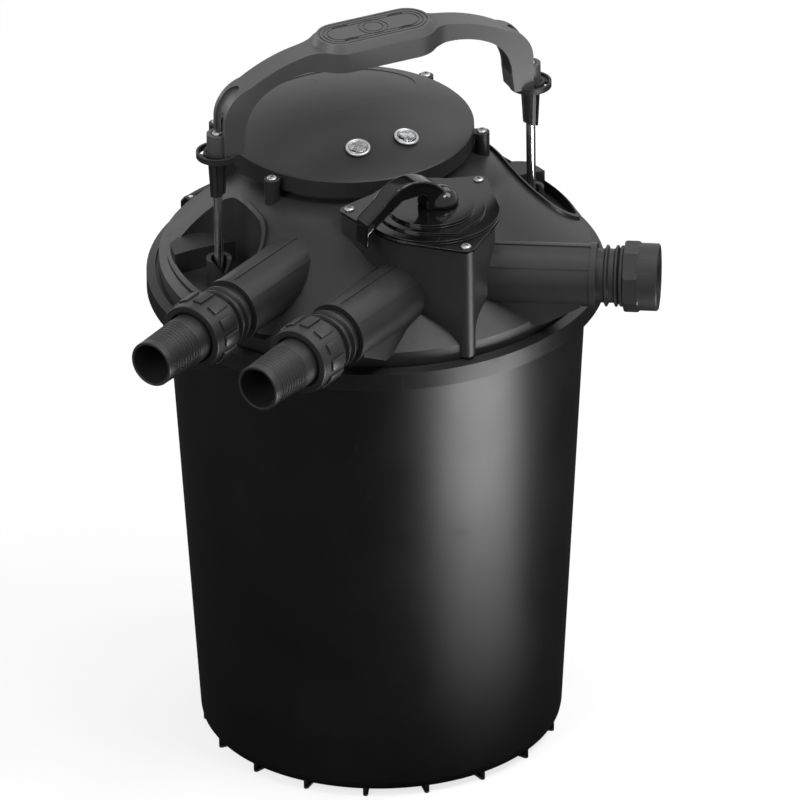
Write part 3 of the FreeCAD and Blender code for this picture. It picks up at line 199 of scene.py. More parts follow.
# %% Bloom on upward faces
BLOOM, given, put = new_group("bloom", "ShaderNodeTree",
                              {"Vector": "vector", "Normal": "vector", "Amount": "number"}, {"Mask": "number"})
facing = add(BLOOM, "ShaderNodeSeparateXYZ")
feed(BLOOM, given["Normal"], facing.inputs[0])
cloud = texture(BLOOM, "ShaderNodeTexNoise", given["Vector"], Scale=26.0, Detail=6.0, Roughness=0.65)
upward = ramp(BLOOM, facing.outputs[2], 0.2, 1.0)
layer = calc(BLOOM, "MULTIPLY", upward, ramp(BLOOM, cloud.outputs[0], 0.3, 0.7, 0.4))
feed(BLOOM, calc(BLOOM, "MULTIPLY", layer, given["Amount"]), put["Mask"])
print(BLOOM.name, "made")

# %% [markdown]
# Edges are the first places to be rubbed, and a moulded edge is a little paler than the face beside it. The Bevel
# node gives the normal that a rounded edge would have; where it leaves the real one, there is an edge.

# %% Rubbed edges
EDGES, given, put = new_group("rubbed_edges", "ShaderNodeTree", {"Vector": "vector", "Width": "number"},
                              {"Mask": "number"})
soft = add(EDGES, "ShaderNodeBevel", samples=4)
feed(EDGES, given["Width"], soft.inputs["Radius"])
real = add(EDGES, "ShaderNodeNewGeometry")
agree = add(EDGES, "ShaderNodeVectorMath", operation="DOT_PRODUCT")
feed(EDGES, soft.outputs[0], agree.inputs[0])
feed(EDGES, real.outputs["Normal"], agree.inputs[1])
broken = texture(EDGES, "ShaderNodeTexNoise", given["Vector"], Scale=120.0, Detail=4.0)
edge = ramp(EDGES, agree.outputs["Value"], 0.99, 0.9)
feed(EDGES, calc(EDGES, "MULTIPLY", edge, ramp(EDGES, broken.outputs[0], 0.35, 0.6, 0.25)), put["Mask"])
print(EDGES.name, "made")

# %% [markdown]
# Most of the filter is black polypropylene, in several grades: the lid's satin grey-black, the bucket's and the
# clamp ring's deeper blacks, the handle's paler grey and the valve's polished black. They share one recipe with
# the grey plastic inside and the rubber of the seals, and only their values differ.


# %% Recipe for moulded plastics
def use(tree, group, **values):
    """A node group placed in a material, with its inputs fed by name."""
    made = add(tree, "ShaderNodeGroup", node_tree=group)
    for name, value in values.items():
        feed(tree, value, made.inputs[name])
    return made.outputs


def new_material(name):
    made = bpy.data.materials.new(name)
    made.use_nodes = True
    return made, made.node_tree, made.node_tree.nodes["Principled BSDF"]


def grey(value, tint=(1.0, 1.0, 1.0)):
    return tuple(value * t for t in tint) + (1.0,)


def set_bump(tree, shader, height, distance):
    bump = add(tree, "ShaderNodeBump")
    bump.inputs["Distance"].default_value = distance
    feed(tree, height, bump.inputs["Height"])
    feed(tree, bump.outputs[0], shader.inputs["Normal"])


BLOOM_TONE, RUB_WIDTH = 0.07, 0.0009


def moulded(name, tone, roughness, grain=1300.0, depth=0.00003, specular=0.5, bloom=0.3, rubbed=0.3,
            tint=(1.0, 1.0, 1.0)):
    """Moulded plastic of a plain tone, with grain, slow drift, scratches, bloom and rubbed edges."""
    made, tree, shader = new_material(name)
    where = add(tree, "ShaderNodeTexCoord").outputs
    pebble = use(tree, GRAIN, Vector=where["Object"], Scale=grain)
    marks = use(tree, MARKS, Vector=where["Object"])["Mask"]
    dull = use(tree, BLOOM, Vector=where["Object"], Normal=where["Normal"], Amount=bloom)["Mask"]
    rub = calc(tree, "MULTIPLY", use(tree, EDGES, Vector=where["Object"], Width=RUB_WIDTH)["Mask"], rubbed)
    colour = mix_colour(tree, pebble["Tone"], grey(tone * 0.85, tint), grey(tone * 1.15, tint))
    colour = mix_colour(tree, rub, colour, grey(tone * 3 + 0.01, tint))
    colour = mix_colour(tree, dull, colour, grey(BLOOM_TONE + tone, (1.0, 0.99, 0.97)))
    feed(tree, colour, shader.inputs["Base Color"])
    rough = calc(tree, "ADD", roughness - 0.03, calc(tree, "MULTIPLY", pebble["Tone"], 0.06))
    rough = calc(tree, "ADD", rough, calc(tree, "MULTIPLY", marks, 0.08))
    rough = calc(tree, "ADD", rough, calc(tree, "MULTIPLY", dull, 0.25), clamp=True)
    feed(tree, rough, shader.inputs["Roughness"])
    shader.inputs["Specular IOR Level"].default_value = specular
    set_bump(tree, shader, calc(tree, "SUBTRACT", pebble["Height"], calc(tree, "MULTIPLY", marks, 0.3)), depth)
    return made


print("recipe: grain, tone drift, scratches, bloom and rubbed edges")

# %% [markdown]
# Black isn't one colour in a picture: how much a surface mirrors tells the pieces apart more than its tone does.
# So each grade gets a tone, a roughness and a specular level, and a coarser or finer grain. A polished piece has
# hardly any grain, and a rubber has a deep, fine one.

# %% Grades of plastic and rubber
LOOK = {
    "bucket_black": moulded("bucket_black", 0.003, 0.42, grain=900.0, depth=0.00001, specular=0.23, bloom=0.0,
                            rubbed=0.15),
    "lid_black": moulded("lid_black", 0.012, 0.42, specular=0.22, bloom=0.1, rubbed=0.3),
    "handle_grey": moulded("handle_grey", 0.036, 0.46, specular=0.42, bloom=0.1, rubbed=0.35),
    "gloss_black": moulded("gloss_black", 0.003, 0.12, grain=500.0, depth=0.000004, specular=0.34, bloom=0.0,
                           rubbed=0.2),
    "ring_black": moulded("ring_black", 0.006, 0.38, specular=0.2, bloom=0.03, rubbed=0.35),
    "inner_plastic": moulded("inner_plastic", 0.16, 0.4, specular=0.5, bloom=0.1, rubbed=0.2,
                             tint=(0.96, 1.0, 1.04)),
    "seal_rubber": moulded("seal_rubber", 0.012, 0.62, grain=2200.0, depth=0.00005, specular=0.3, bloom=0.15,
                           rubbed=0.1),
}
print("moulded:", ", ".join(LOOK))

# %% [markdown]
# The rods are drawn stainless steel: fine lines run along the metal, and they blur its reflection. The lines are
# noise that changes quickly round the rod and hardly at all along it.

# %% Drawn steel
made, tree, shader = new_material("steel")
where = add(tree, "ShaderNodeTexCoord").outputs["Object"]
lines = texture(tree, "ShaderNodeTexNoise", stretch(tree, where, (1500, 1500, 9)), Scale=1.0, Detail=3.0)
stain = texture(tree, "ShaderNodeTexNoise", where, Scale=45.0, Detail=5.0)
feed(tree, mix_colour(tree, ramp(tree, stain.outputs[0], 0.35, 0.7), (0.72, 0.72, 0.71, 1), (0.55, 0.55, 0.55, 1)),
     shader.inputs["Base Color"])
feed(tree, ramp(tree, lines.outputs[0], 0.3, 0.7, 0.16, 0.34), shader.inputs["Roughness"])
shader.inputs["Metallic"].default_value = 1.0
set_bump(tree, shader, lines.outputs[0], 0.00001)
LOOK["steel"] = made
print("steel: lines", lines.name)

# %% [markdown]
# The screws are pressed, not drawn: their heads are duller and mottled, and a tarnish darkens them. Noise about as
# fine as a screwdriver's marks does both the colour and the roughness.

# %% Tarnished screw steel
made, tree, shader = new_material("screw_steel")
where = add(tree, "ShaderNodeTexCoord").outputs["Object"]
mottle = texture(tree, "ShaderNodeTexNoise", where, Scale=900.0, Detail=4.0)
feed(tree, mix_colour(tree, mottle.outputs[0], (0.42, 0.42, 0.42, 1), (0.16, 0.16, 0.165, 1)),
     shader.inputs["Base Color"])
feed(tree, ramp(tree, mottle.outputs[0], 0.3, 0.7, 0.3, 0.5), shader.inputs["Roughness"])
shader.inputs["Metallic"].default_value = 1.0
LOOK["screw_steel"] = made
print("screw steel: mottled by", mottle.name)

# %% [markdown]
# The lenses are clear polycarbonate and the lamp's sleeve is quartz. Both transmit, so their weight stays a plain
# number. Faint ripples from the mould or from the drawn tube keep the reflections alive.


# %% Clear materials
def clear(name, tint, roughness, ior, ripple):
    made, tree, shader = new_material(name)
    where = add(tree, "ShaderNodeTexCoord").outputs["Object"]
    waves = texture(tree, "ShaderNodeTexNoise", where, Scale=ripple, Detail=2.0)
    feed(tree, mix_colour(tree, waves.outputs[0], (*tint, 1), (1, 1, 1, 1)), shader.inputs["Base Color"])
    feed(tree, ramp(tree, waves.outputs[0], 0.3, 0.7, roughness, roughness + 0.03), shader.inputs["Roughness"])
    shader.inputs["Transmission Weight"].default_value = 1.0
    shader.inputs["IOR"].default_value = ior
    set_bump(tree, shader, waves.outputs[0], 0.00002)
    return made


LOOK["clear_lens"] = clear("clear_lens", (0.95, 0.97, 1.0), 0.04, 1.58, 300.0)
LOOK["quartz"] = clear("quartz", (0.97, 1.0, 0.99), 0.01, 1.46, 60.0)
print("clear: clear_lens, quartz")

# %% [markdown]
# Behind each lens sits a star of bright facets, which scatters the small lamp's light. Metallised plastic is
# greyer than steel and a little cloudy, so it isn't fully metallic here.

# %% Metallised star
made, tree, shader = new_material("metallised")
where = add(tree, "ShaderNodeTexCoord").outputs["Object"]
mist = texture(tree, "ShaderNodeTexNoise", where, Scale=700.0, Detail=3.0)
feed(tree, mix_colour(tree, mist.outputs[0], (0.3, 0.3, 0.31, 1), (0.42, 0.42, 0.42, 1)),
     shader.inputs["Base Color"])
feed(tree, ramp(tree, mist.outputs[0], 0.3, 0.7, 0.3, 0.45), shader.inputs["Roughness"])
shader.inputs["Metallic"].default_value = 0.6
LOOK["metallised"] = made
print("metallised:", shader.inputs["Metallic"].default_value)

# %% [markdown]
# The foam inside the bucket is coarse and blue. Real pores would take millions of faces, so cells of two sizes are
# given painted shade in their middles, for the depth of the pores, and a bump lets their walls stand up.

# %% Open-pored foam
made, tree, shader = new_material("foam_blue")
where = add(tree, "ShaderNodeTexCoord").outputs["Object"]
cells = texture(tree, "ShaderNodeTexVoronoi", where, Scale=420.0)
fine = texture(tree, "ShaderNodeTexVoronoi", where, Scale=1100.0)
small = calc(tree, "MULTIPLY", fine.outputs["Distance"], 0.4)
pore_depth_and_shade = ramp(tree, calc(tree, "ADD", cells.outputs["Distance"], small), 0.25, 0.75)
# The dark colour is painted shade. It is deepest where the bump is lowest, and it stands in for the pores' depth.
feed(tree, mix_colour(tree, pore_depth_and_shade, (0.05, 0.16, 0.42, 1), (0.004, 0.02, 0.07, 1)), shader.inputs["Base Color"])
feed(tree, ramp(tree, pore_depth_and_shade, 0.0, 1.0, 0.8, 0.98), shader.inputs["Roughness"])
set_bump(tree, shader, calc(tree, "SUBTRACT", 1.0, pore_depth_and_shade), 0.0016)
LOOK["foam_blue"] = made
print("finishes:", len(LOOK))

# %% [markdown]
# Inner pieces have the right shape already, so each CAD node simply gets the finish of its slot. What the eye can
# reach is treated piece by piece further on.

# %% Finish every node by its slot
for name, node in NODES.items():
    for holder in node.material_slots:
        holder.material = LOOK[SLOT_OF[name]]
print("slots in use:", sorted(set(SLOT_OF.values())))

# %% [markdown]
# A solid's edges are knife-sharp, and a real moulding's never are: a sharp edge shows no glint. A visible node is
# therefore copied, its loose triangles are merged, its flat faces are joined, and a Bevel modifier rounds every
# real edge. A Weighted Normal modifier then lets the large faces decide the shading, so that curved walls look
# even and flat ones stay flat.


# %% Softened copies
def dress(piece, node):
    """Puts a piece on the body of its node and hides the node that it replaces."""
    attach(piece, BODY_OF[node])
    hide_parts(node)
    return piece


def new_piece(name, mesh, look):
    piece = bpy.data.objects.new(name, mesh)
    SCENE.collection.objects.link(piece)
    mesh.materials.clear()
    mesh.materials.append(LOOK[look])
    return piece


def softened(node, width):
    """Copy of a node with rounded edges and even shading."""
    mesh = NODES[node].data.copy()
    bm = bmesh.new()
    bm.from_mesh(mesh)
    bmesh.ops.remove_doubles(bm, verts=bm.verts, dist=1e-6)
    bmesh.ops.dissolve_limit(bm, angle_limit=radians(1), verts=bm.verts, edges=bm.edges)
    for face in bm.faces:
        face.smooth = True
    bm.to_mesh(mesh)
    bm.free()
    piece = new_piece(node + "_piece", mesh, OWN_LOOK.get(node, SLOT_OF[node]))
    rounding = piece.modifiers.new("rounded edges", "BEVEL")
    rounding.width, rounding.segments = width, 2
    rounding.limit_method, rounding.angle_limit = "ANGLE", radians(32)
    even = piece.modifiers.new("even shading", "WEIGHTED_NORMAL")
    even.mode, even.weight, even.keep_sharp = "FACE_AREA", 50, False
    return dress(piece, node)


# Width of the rounding at each copy's edges, and the one copy whose finish isn't its slot's.
SOFTENED = {
    "lid": 0.0009, "clamp_ring": 0.0010, "uv_cover": 0.0014, "valve_cover": 0.0008, "clamp_lever": 0.0006,
    "clamp_pins": 0.0003, "cable_gland": 0.0004, "pipe_socket": 0.0006, "rod_sleeve_left": 0.0003,
    "rod_sleeve_right": 0.0003, "side_port_ring": 0.0002, "handle": 0.0009,
}
OWN_LOOK = {"clamp_ring": "ring_black"}
for node, width in SOFTENED.items():
    softened(node, width)
print("softened:", len(SOFTENED))

# %% [markdown]
# Many of the filter's pieces are bodies of revolution, and turning is a rule: each point of a profile goes round
# the axis. The tree lays out a grid, looks up the profile's point for each row, turns it by the column's share of
# a full turn, and merges the seam and the poles. The profile is a chain of points, as radius and height, on a
# helper object. Like every geometry tree here, it ends by making copies real and giving them their material.


# %% Turning tree
def end_tree(tree, shape, given, put):
    """The last two nodes of a geometry tree, linked to its output."""
    whole = add(tree, "GeometryNodeRealizeInstances")
    feed(tree, shape, whole.inputs["Geometry"])
    painted = add(tree, "GeometryNodeSetMaterial")
    feed(tree, whole.outputs[0], painted.inputs["Geometry"])
    feed(tree, given["Material"], painted.inputs["Material"])
    feed(tree, painted.outputs[0], put["Geometry"])


TURNED, given, put = new_group("turned", "GeometryNodeTree",
                               {"Profile": "object", "Rows": "count", "Around": "count", "Material": "material"},
                               {"Geometry": "geometry"})
grid = add(TURNED, "GeometryNodeMeshGrid")
feed(TURNED, calc(TURNED, "ADD", given["Around"], 1.0), grid.inputs["Vertices X"])
feed(TURNED, given["Rows"], grid.inputs["Vertices Y"])
grid.inputs["Size X"].default_value = grid.inputs["Size Y"].default_value = 1.0
place = add(TURNED, "GeometryNodeInputPosition").outputs[0]
split = add(TURNED, "ShaderNodeSeparateXYZ")
feed(TURNED, place, split.inputs[0])
angle = calc(TURNED, "MULTIPLY", calc(TURNED, "ADD", split.outputs[0], 0.5), 2 * pi)
last_row = calc(TURNED, "SUBTRACT", given["Rows"], 1.0)
row = calc(TURNED, "MULTIPLY", calc(TURNED, "ADD", split.outputs[1], 0.5), last_row)
source = add(TURNED, "GeometryNodeObjectInfo")
feed(TURNED, given["Profile"], source.inputs["Object"])
look_up = add(TURNED, "GeometryNodeSampleIndex", data_type="FLOAT_VECTOR")
feed(TURNED, source.outputs["Geometry"], look_up.inputs["Geometry"])
feed(TURNED, place, socket(look_up.inputs, "Value"))
feed(TURNED, calc(TURNED, "ROUND", row), look_up.inputs["Index"])
spin = add(TURNED, "ShaderNodeVectorRotate", rotation_type="Z_AXIS")
feed(TURNED, socket(look_up.outputs, "Value"), spin.inputs["Vector"])
feed(TURNED, angle, spin.inputs["Angle"])
moved = add(TURNED, "GeometryNodeSetPosition")
feed(TURNED, grid.outputs["Mesh"], moved.inputs["Geometry"])
feed(TURNED, spin.outputs[0], moved.inputs["Position"])
merged = add(TURNED, "GeometryNodeMergeByDistance")
feed(TURNED, moved.outputs[0], merged.inputs["Geometry"])
merged.inputs["Distance"].default_value = 1e-6
end_tree(TURNED, merged.outputs[0], given, put)
print(TURNED.name, "nodes:", len(TURNED.nodes))

# %% [markdown]
# A tree is only a recipe. To get a mesh from it, it is put on a host object as a modifier with its inputs set, the
# host is evaluated, and the result is kept as a plain mesh. Profiles get their corners rounded before they are
# turned, because a turned edge can't be bevelled evenly afterwards.


# %% Grow a mesh from a tree
def grow(tree, values, base=None):
    """Plain mesh that a tree makes, with its inputs set by the sockets' identifiers."""
    host = bpy.data.objects.new(tree.name, base or bpy.data.meshes.new(tree.name))
    SCENE.collection.objects.link(host)
    modifier = host.modifiers.new(tree.name, "NODES")
    modifier.node_group = tree
    for item in tree.interface.items_tree:
        if item.in_out == "INPUT" and item.name in values:
            modifier[item.identifier] = values[item.name]
    host.update_tag()
    bpy.context.view_layer.update()
    graph = bpy.context.evaluated_depsgraph_get()
    mesh = bpy.data.meshes.new_from_object(host.evaluated_get(graph), depsgraph=graph)
    bpy.data.objects.remove(host)
    return mesh


def tidy(mesh, crease=35):
    """Merges doubles, points the faces outwards and keeps only real edges sharp."""
    bm = bmesh.new()
    bm.from_mesh(mesh)
    bmesh.ops.remove_doubles(bm, verts=bm.verts, dist=1e-7)
    bmesh.ops.recalc_face_normals(bm, faces=bm.faces)
    for face in bm.faces:
        face.smooth = True
    bm.to_mesh(mesh)
    bm.free()
    mesh.set_sharp_from_angle(angle=radians(crease))
    return mesh


def helper(mesh):
    """Object that a tree reads; it is removed again after use."""
    made = bpy.data.objects.new("helper", mesh)
    SCENE.collection.objects.link(made)
    return made


def turned(profile, look, around=96):
    """Closed turned mesh from a profile of (radius, height)."""
    chain = bpy.data.meshes.new("profile")
    chain.from_pydata([(r, 0, z) for r, z in profile], [(i, i + 1) for i in range(len(profile) - 1)], [])
    held = helper(chain)
    mesh = grow(TURNED, {"Profile": held, "Rows": len(profile), "Around": around, "Material": LOOK[look]})
    bpy.data.objects.remove(held)
    return tidy(mesh)


def rounded(points, radius, steps=4, hold=0.0003):
    """Profile with rounded corners. A third value at a corner is its own radius; short flats get less."""
    out = [points[0][:2]]
    for before, corner, after in zip(points, points[1:], points[2:]):
        c = Vector(corner[:2])
        a, b = Vector(before[:2]) - c, Vector(after[:2]) - c
        size = min(corner[2] if len(corner) > 2 else radius, a.length * 0.45, b.length * 0.45)
        a_end, b_end = c + a.normalized() * size, c + b.normalized() * size
        bend = [(1 - s) ** 2 * a_end + 2 * s * (1 - s) * c + s * s * b_end
                for s in (i / steps for i in range(steps + 1))]
        if a.length > 4 * size:
            out.append(tuple(c + a.normalized() * (size + hold)))
        out += [tuple(p) for p in bend]
        if b.length > 4 * size:
            out.append(tuple(c + b.normalized() * (size + hold)))
    return out + [points[-1][:2]]


def joined(*meshes):
    """One mesh from several, each with its own place already in it."""
    bm = bmesh.new()
    for mesh in meshes:
        bm.from_mesh(mesh)
    out = bpy.data.meshes.new("joined")
    bm.to_mesh(out)
    bm.free()
    out.set_sharp_from_angle(angle=radians(35))
    return out


print("a rounded corner has", len(rounded([(0, 0), (1, 0), (1, 1)], 0.1)) - 2, "points")

# %% [markdown]
# Feet, grip pads and facets repeat round an axis. One tree does all of them: it puts a shape on as many points as
# asked for, each turned by its share of the full turn.


# %% Tree for what repeats round an axis
def copies_on(tree, points, shape, rotation):
    """Copies of an object on points, each with its own rotation."""
    source = add(tree, "GeometryNodeObjectInfo")
    feed(tree, shape, source.inputs["Object"])
    copies = add(tree, "GeometryNodeInstanceOnPoints")
    feed(tree, points, copies.inputs["Points"])
    feed(tree, source.outputs["Geometry"], copies.inputs["Instance"])
    feed(tree, rotation, copies.inputs["Rotation"])
    return copies.outputs[0]


ROUND, given, put = new_group("repeated_round", "GeometryNodeTree",
                              {"Shape": "object", "Count": "count", "Axis": "vector", "Start": "number",
                               "Material": "material"}, {"Geometry": "geometry"})
spots = add(ROUND, "GeometryNodePoints")
feed(ROUND, given["Count"], spots.inputs["Count"])
step = calc(ROUND, "DIVIDE", 2 * pi, given["Count"])
share = calc(ROUND, "MULTIPLY", add(ROUND, "GeometryNodeInputIndex").outputs[0], step)
facing = add(ROUND, "FunctionNodeAxisAngleToRotation")
feed(ROUND, given["Axis"], facing.inputs["Axis"])
feed(ROUND, calc(ROUND, "ADD", share, given["Start"]), facing.inputs["Angle"])
end_tree(ROUND, copies_on(ROUND, spots.outputs[0], given["Shape"], facing.outputs[0]), given, put)
print(ROUND.name, "nodes:", len(ROUND.nodes))

# %% [markdown]
# What gets repeated is often a block with rounded edges over a flat outline. It is extruded and bevelled in its
# own mesh, so that it is finished when the tree reads it.


# %% Blocks and their copies round an axis
def repeated(shape, count, look, axis=(0, 0, 1), start=0.0):
    """Copies of a shape round an axis through the origin."""
    held = helper(shape)
    mesh = grow(ROUND, {"Shape": held, "Count": count, "Axis": axis, "Start": start, "Material": LOOK[look]})
    bpy.data.objects.remove(held)
    return tidy(mesh)


def prism(outline, low, high, soft):
    """Upright block over an outline, with its edges rounded."""
    mesh = bpy.data.meshes.new("block")
    bm = bmesh.new()
    face = bm.faces.new([bm.verts.new((x, y, low)) for x, y in outline])
    top = bmesh.ops.extrude_face_region(bm, geom=[face])
    lifted = [v for v in top["geom"] if isinstance(v, bmesh.types.BMVert)]
    bmesh.ops.translate(bm, vec=(0, 0, high - low), verts=lifted)
    bmesh.ops.recalc_face_normals(bm, faces=bm.faces)
    sharp = [e for e in bm.edges if e.calc_face_angle(0.0) > radians(40)]
    bmesh.ops.bevel(bm, geom=sharp, offset=soft, segments=2, profile=0.5, affect="EDGES", clamp_overlap=True)
    bm.to_mesh(mesh)
    bm.free()
    return mesh


print("blocks ready; copies come from", ROUND.name)

# %% [markdown]
# The bucket tapers towards its base, with a rounded lower edge and a flange at its rim that the clamp ring holds.
# It stands on ribs like the spokes of a wheel, whose round ends show as a row of nubs under its edge. The wall is
# turned, and the ribs are one rounded bar, repeated.

# %% Bucket
BASE_R, TOP_R, FLANGE_R, WALL = 0.155, 0.1803, 0.1909, 0.004
FOOT_H, CORNER, HUB_FOOT_R, FOOT_W, FOOT_COUNT = 0.005, 0.009, 0.024, 0.0045, 18
FOOT_OUT, INNER_SHY, INNER_CORNER = 0.0001, 0.0005, CORNER * 0.7
HUB_ROUND, FLANGE_ROUND, RIM_ROUND = 0.001, 0.0015, 0.0008
RIB_BACK, RIB_LAP, RIB_SHY, RIB_ROUND = 0.001, 0.002, 0.0003, 0.0005
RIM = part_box("bucket")[1].z
TAPER = (TOP_R - BASE_R) / (RIM - FOOT_H)
corner_r = BASE_R + TAPER * CORNER
wall = rounded([
    (0, 0), (HUB_FOOT_R, 0, HUB_ROUND), (HUB_FOOT_R, FOOT_H, HUB_ROUND), (BASE_R + FOOT_OUT, FOOT_H, CORNER),
    (TOP_R, RIM - WALL, FLANGE_ROUND), (FLANGE_R, RIM - WALL), (FLANGE_R, RIM), (TOP_R - WALL, RIM),
    (corner_r - WALL - INNER_SHY, FOOT_H + WALL, INNER_CORNER), (0, FOOT_H + WALL),
], RIM_ROUND)
half = FOOT_W / 2
rib_end = BASE_R - half - RIB_BACK
nose = [(rib_end + half * cos(a), half * sin(a)) for a in (radians(d) for d in range(-90, 91, 15))]
rib_outline = [(HUB_FOOT_R - RIB_LAP, -half)] + nose + [(HUB_FOOT_R - RIB_LAP, half)]
rib = prism(rib_outline, 0, FOOT_H + WALL - RIB_SHY, RIB_ROUND)
ribs = repeated(rib, FOOT_COUNT, "bucket_black")
bucket = new_piece("bucket_piece", joined(turned(wall, "bucket_black", 192), ribs), "bucket_black")
dress(bucket, "bucket")
print("bucket faces:", len(bucket.data.polygons), "ribs:", FOOT_COUNT)

# %% [markdown]
# Each pull rod is a turned bar with a small chamfer at both ends. The box of its CAD node gives its place.


# %% Pull rods
def moved_to(mesh, *steps):
    """The mesh with its place applied, the first step first."""
    for matrix in steps:
        mesh.transform(matrix)
    return mesh


for node in ("rod_left", "rod_right"):
    low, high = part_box(node)
    radius = (high.x - low.x) / 2
    bar = turned(rounded([(0, low.z), (radius, low.z), (radius, high.z), (0, high.z)], 0.0006), "steel", 48)
    centre = Matrix.Translation(((low.x + high.x) / 2, (low.y + high.y) / 2, 0))
    dress(new_piece(node + "_piece", moved_to(bar, centre), "steel"), node)
    print(node, "radius", round(radius * 1000, 2), "mm")

# %% [markdown]
# The hose tails are turned too. Ten shallow rings, each with a steep back and a long slope, hold the hose. The
# profile is written along the port's axis, turned about the upright axis, and then laid down and carried to its
# port. Both ports point the same way; one starts at the bucket's axis and one at the valve's.

# %% Hose tails
RING_RISE = RIM + 0.0095
PORT_Z, PORT_DEG, VALVE_Y = RING_RISE + 0.049, -150.0, -0.115
PORTS = {"tank": (0.0, 0.214), "inlet": (VALVE_Y, 0.141)}
LAY_DOWN = Matrix.Rotation(radians(90), 4, "Y")


def to_port(mesh, name):
    """Carries a mesh that stands along +Z at the tube's end to its port."""
    y, length = PORTS[name]
    return moved_to(mesh, Matrix.Translation((0, 0, length)), LAY_DOWN,
                    Matrix.Rotation(radians(PORT_DEG), 4, "Z"), Matrix.Translation((0, y, PORT_Z)))


SEAT, SHOULDER, FACE, TIP = 0.046, 0.0527, 0.058, 0.1153
TAIL_R, TAIL_TIP_R, TAIL_BORE, FLANGE_EDGE, RINGS, NECK, LAND = 0.0214, 0.0202, 0.0176, 0.0258, 10, 0.014, 0.006
BACK_DEEP, BACK_LONG, SLOPE_DEEP, NECK_GAP, TIP_ROUND, BORE_ROUND = 0.0008, 0.0004, 0.0003, 0.0005, 0.001, 0.0008
ring_from, ring_to = FACE + NECK, TIP - LAND
pitch = (ring_to - ring_from) / RINGS
tail = [(TAIL_BORE, SEAT), (FLANGE_EDGE, SEAT), (FLANGE_EDGE, SHOULDER), (TAIL_R, SHOULDER),
        (TAIL_R, ring_from - NECK_GAP)]
for i in range(RINGS):
    z = ring_from + i * pitch
    r = TAIL_R + (TAIL_TIP_R - TAIL_R) * i / RINGS
    tail += [(r, z), (r - BACK_DEEP, z + BACK_LONG), (r - SLOPE_DEEP, z + pitch - BACK_LONG)]
tail += [(TAIL_TIP_R, ring_to), (TAIL_TIP_R, TIP, TIP_ROUND), (TAIL_BORE, TIP, BORE_ROUND), (TAIL_BORE, SEAT)]
tail = rounded(tail, 0.0004, steps=2)
for name in ("tank", "inlet"):
    dress(new_piece("hose_tail_%s_piece" % name, to_port(turned(tail, "lid_black", 96), name), "lid_black"),
          "hose_tail_" + name)
print("tail profile:", len(tail), "points, ring pitch", round(pitch * 1000, 2), "mm")

# %% [markdown]
# A union nut is a turned sleeve with a lip that holds the tail's flange, and twelve pads round its rear for the
# fingers. The pads are one rounded block, repeated round the nut's own axis. The block is drawn flat, stood on its
# edge and flipped, so that its height becomes its distance from the axis.

# %% Union nuts
NUT_FROM, NUT_TO, NUT_R, NUT_IN, NUT_LIP_R, LIP = 0.0275, 0.058, 0.029, 0.0267, 0.023, 0.005
REAR_ROUND, FACE_ROUND, LIP_ROUND = 0.001, 0.0012, 0.0008
PADS, PAD_SHARE, PAD_RISE, PAD_SINK, PAD_ROUND = 12, 0.62, 0.0018, 0.0006, 0.0007
PAD_FROM, PAD_TO = NUT_FROM + 0.0015, NUT_FROM + 0.02
pad_half = pi * NUT_R / PADS * PAD_SHARE
nut = rounded([(NUT_IN, NUT_FROM), (NUT_R, NUT_FROM, REAR_ROUND), (NUT_R, NUT_TO, FACE_ROUND),
               (NUT_LIP_R, NUT_TO, LIP_ROUND), (NUT_LIP_R, NUT_TO - LIP), (NUT_IN, NUT_TO - LIP),
               (NUT_IN, NUT_FROM)], 0.0004)
pad_outline = [(-pad_half, PAD_FROM), (pad_half, PAD_FROM), (pad_half, PAD_TO), (-pad_half, PAD_TO)]
pad = prism(pad_outline, NUT_R - PAD_SINK, NUT_R + PAD_RISE, PAD_ROUND)
pad.transform(Matrix.Rotation(radians(90), 4, "X") @ Matrix.Scale(-1, 4, (0, 0, 1)))
for name in ("tank", "inlet"):
    pads = repeated(pad.copy(), PADS, "lid_black")
    body = turned(nut, "lid_black", 96)
    piece = new_piece("union_nut_%s_piece" % name, to_port(joined(body, pads), name), "lid_black")
    dress(piece, "union_nut_" + name)
print("nut pads:", PADS, "each", round(pad_half * 2000, 1), "mm wide")

# %% [markdown]
# Ten pan-head screws hold the covers and the rods. One screw is made with care, and a tree puts a copy on each
# point of a cloud. It turns each by a random amount, because nobody lines up the slots. The seed is fixed, so
# every run gives the same screws.

# %% Tree that sets screws
SCREWS, given, put = new_group("screws_on_points", "GeometryNodeTree",
                               {"Geometry": "geometry", "Screw": "object", "Seed": "count", "Material": "material"},
                               {"Geometry": "geometry"})
chance = add(SCREWS, "FunctionNodeRandomValue", data_type="FLOAT")
socket(chance.inputs, "Max").default_value = 2 * pi
feed(SCREWS, given["Seed"], socket(chance.inputs, "Seed"))
facing = add(SCREWS, "FunctionNodeAxisAngleToRotation")
facing.inputs["Axis"].default_value = (0, 0, 1)
feed(SCREWS, socket(chance.outputs, "Value"), facing.inputs["Angle"])
end_tree(SCREWS, copies_on(SCREWS, given["Geometry"], given["Screw"], facing.outputs[0]), given, put)
print(SCREWS.name, "nodes:", len(SCREWS.nodes))

# %% [markdown]
# The screw's head and shank are one turned profile. The cross is cut by a Boolean with two crossed bars, whose
# result is kept as a plain mesh, so that ten screws cost one cut.

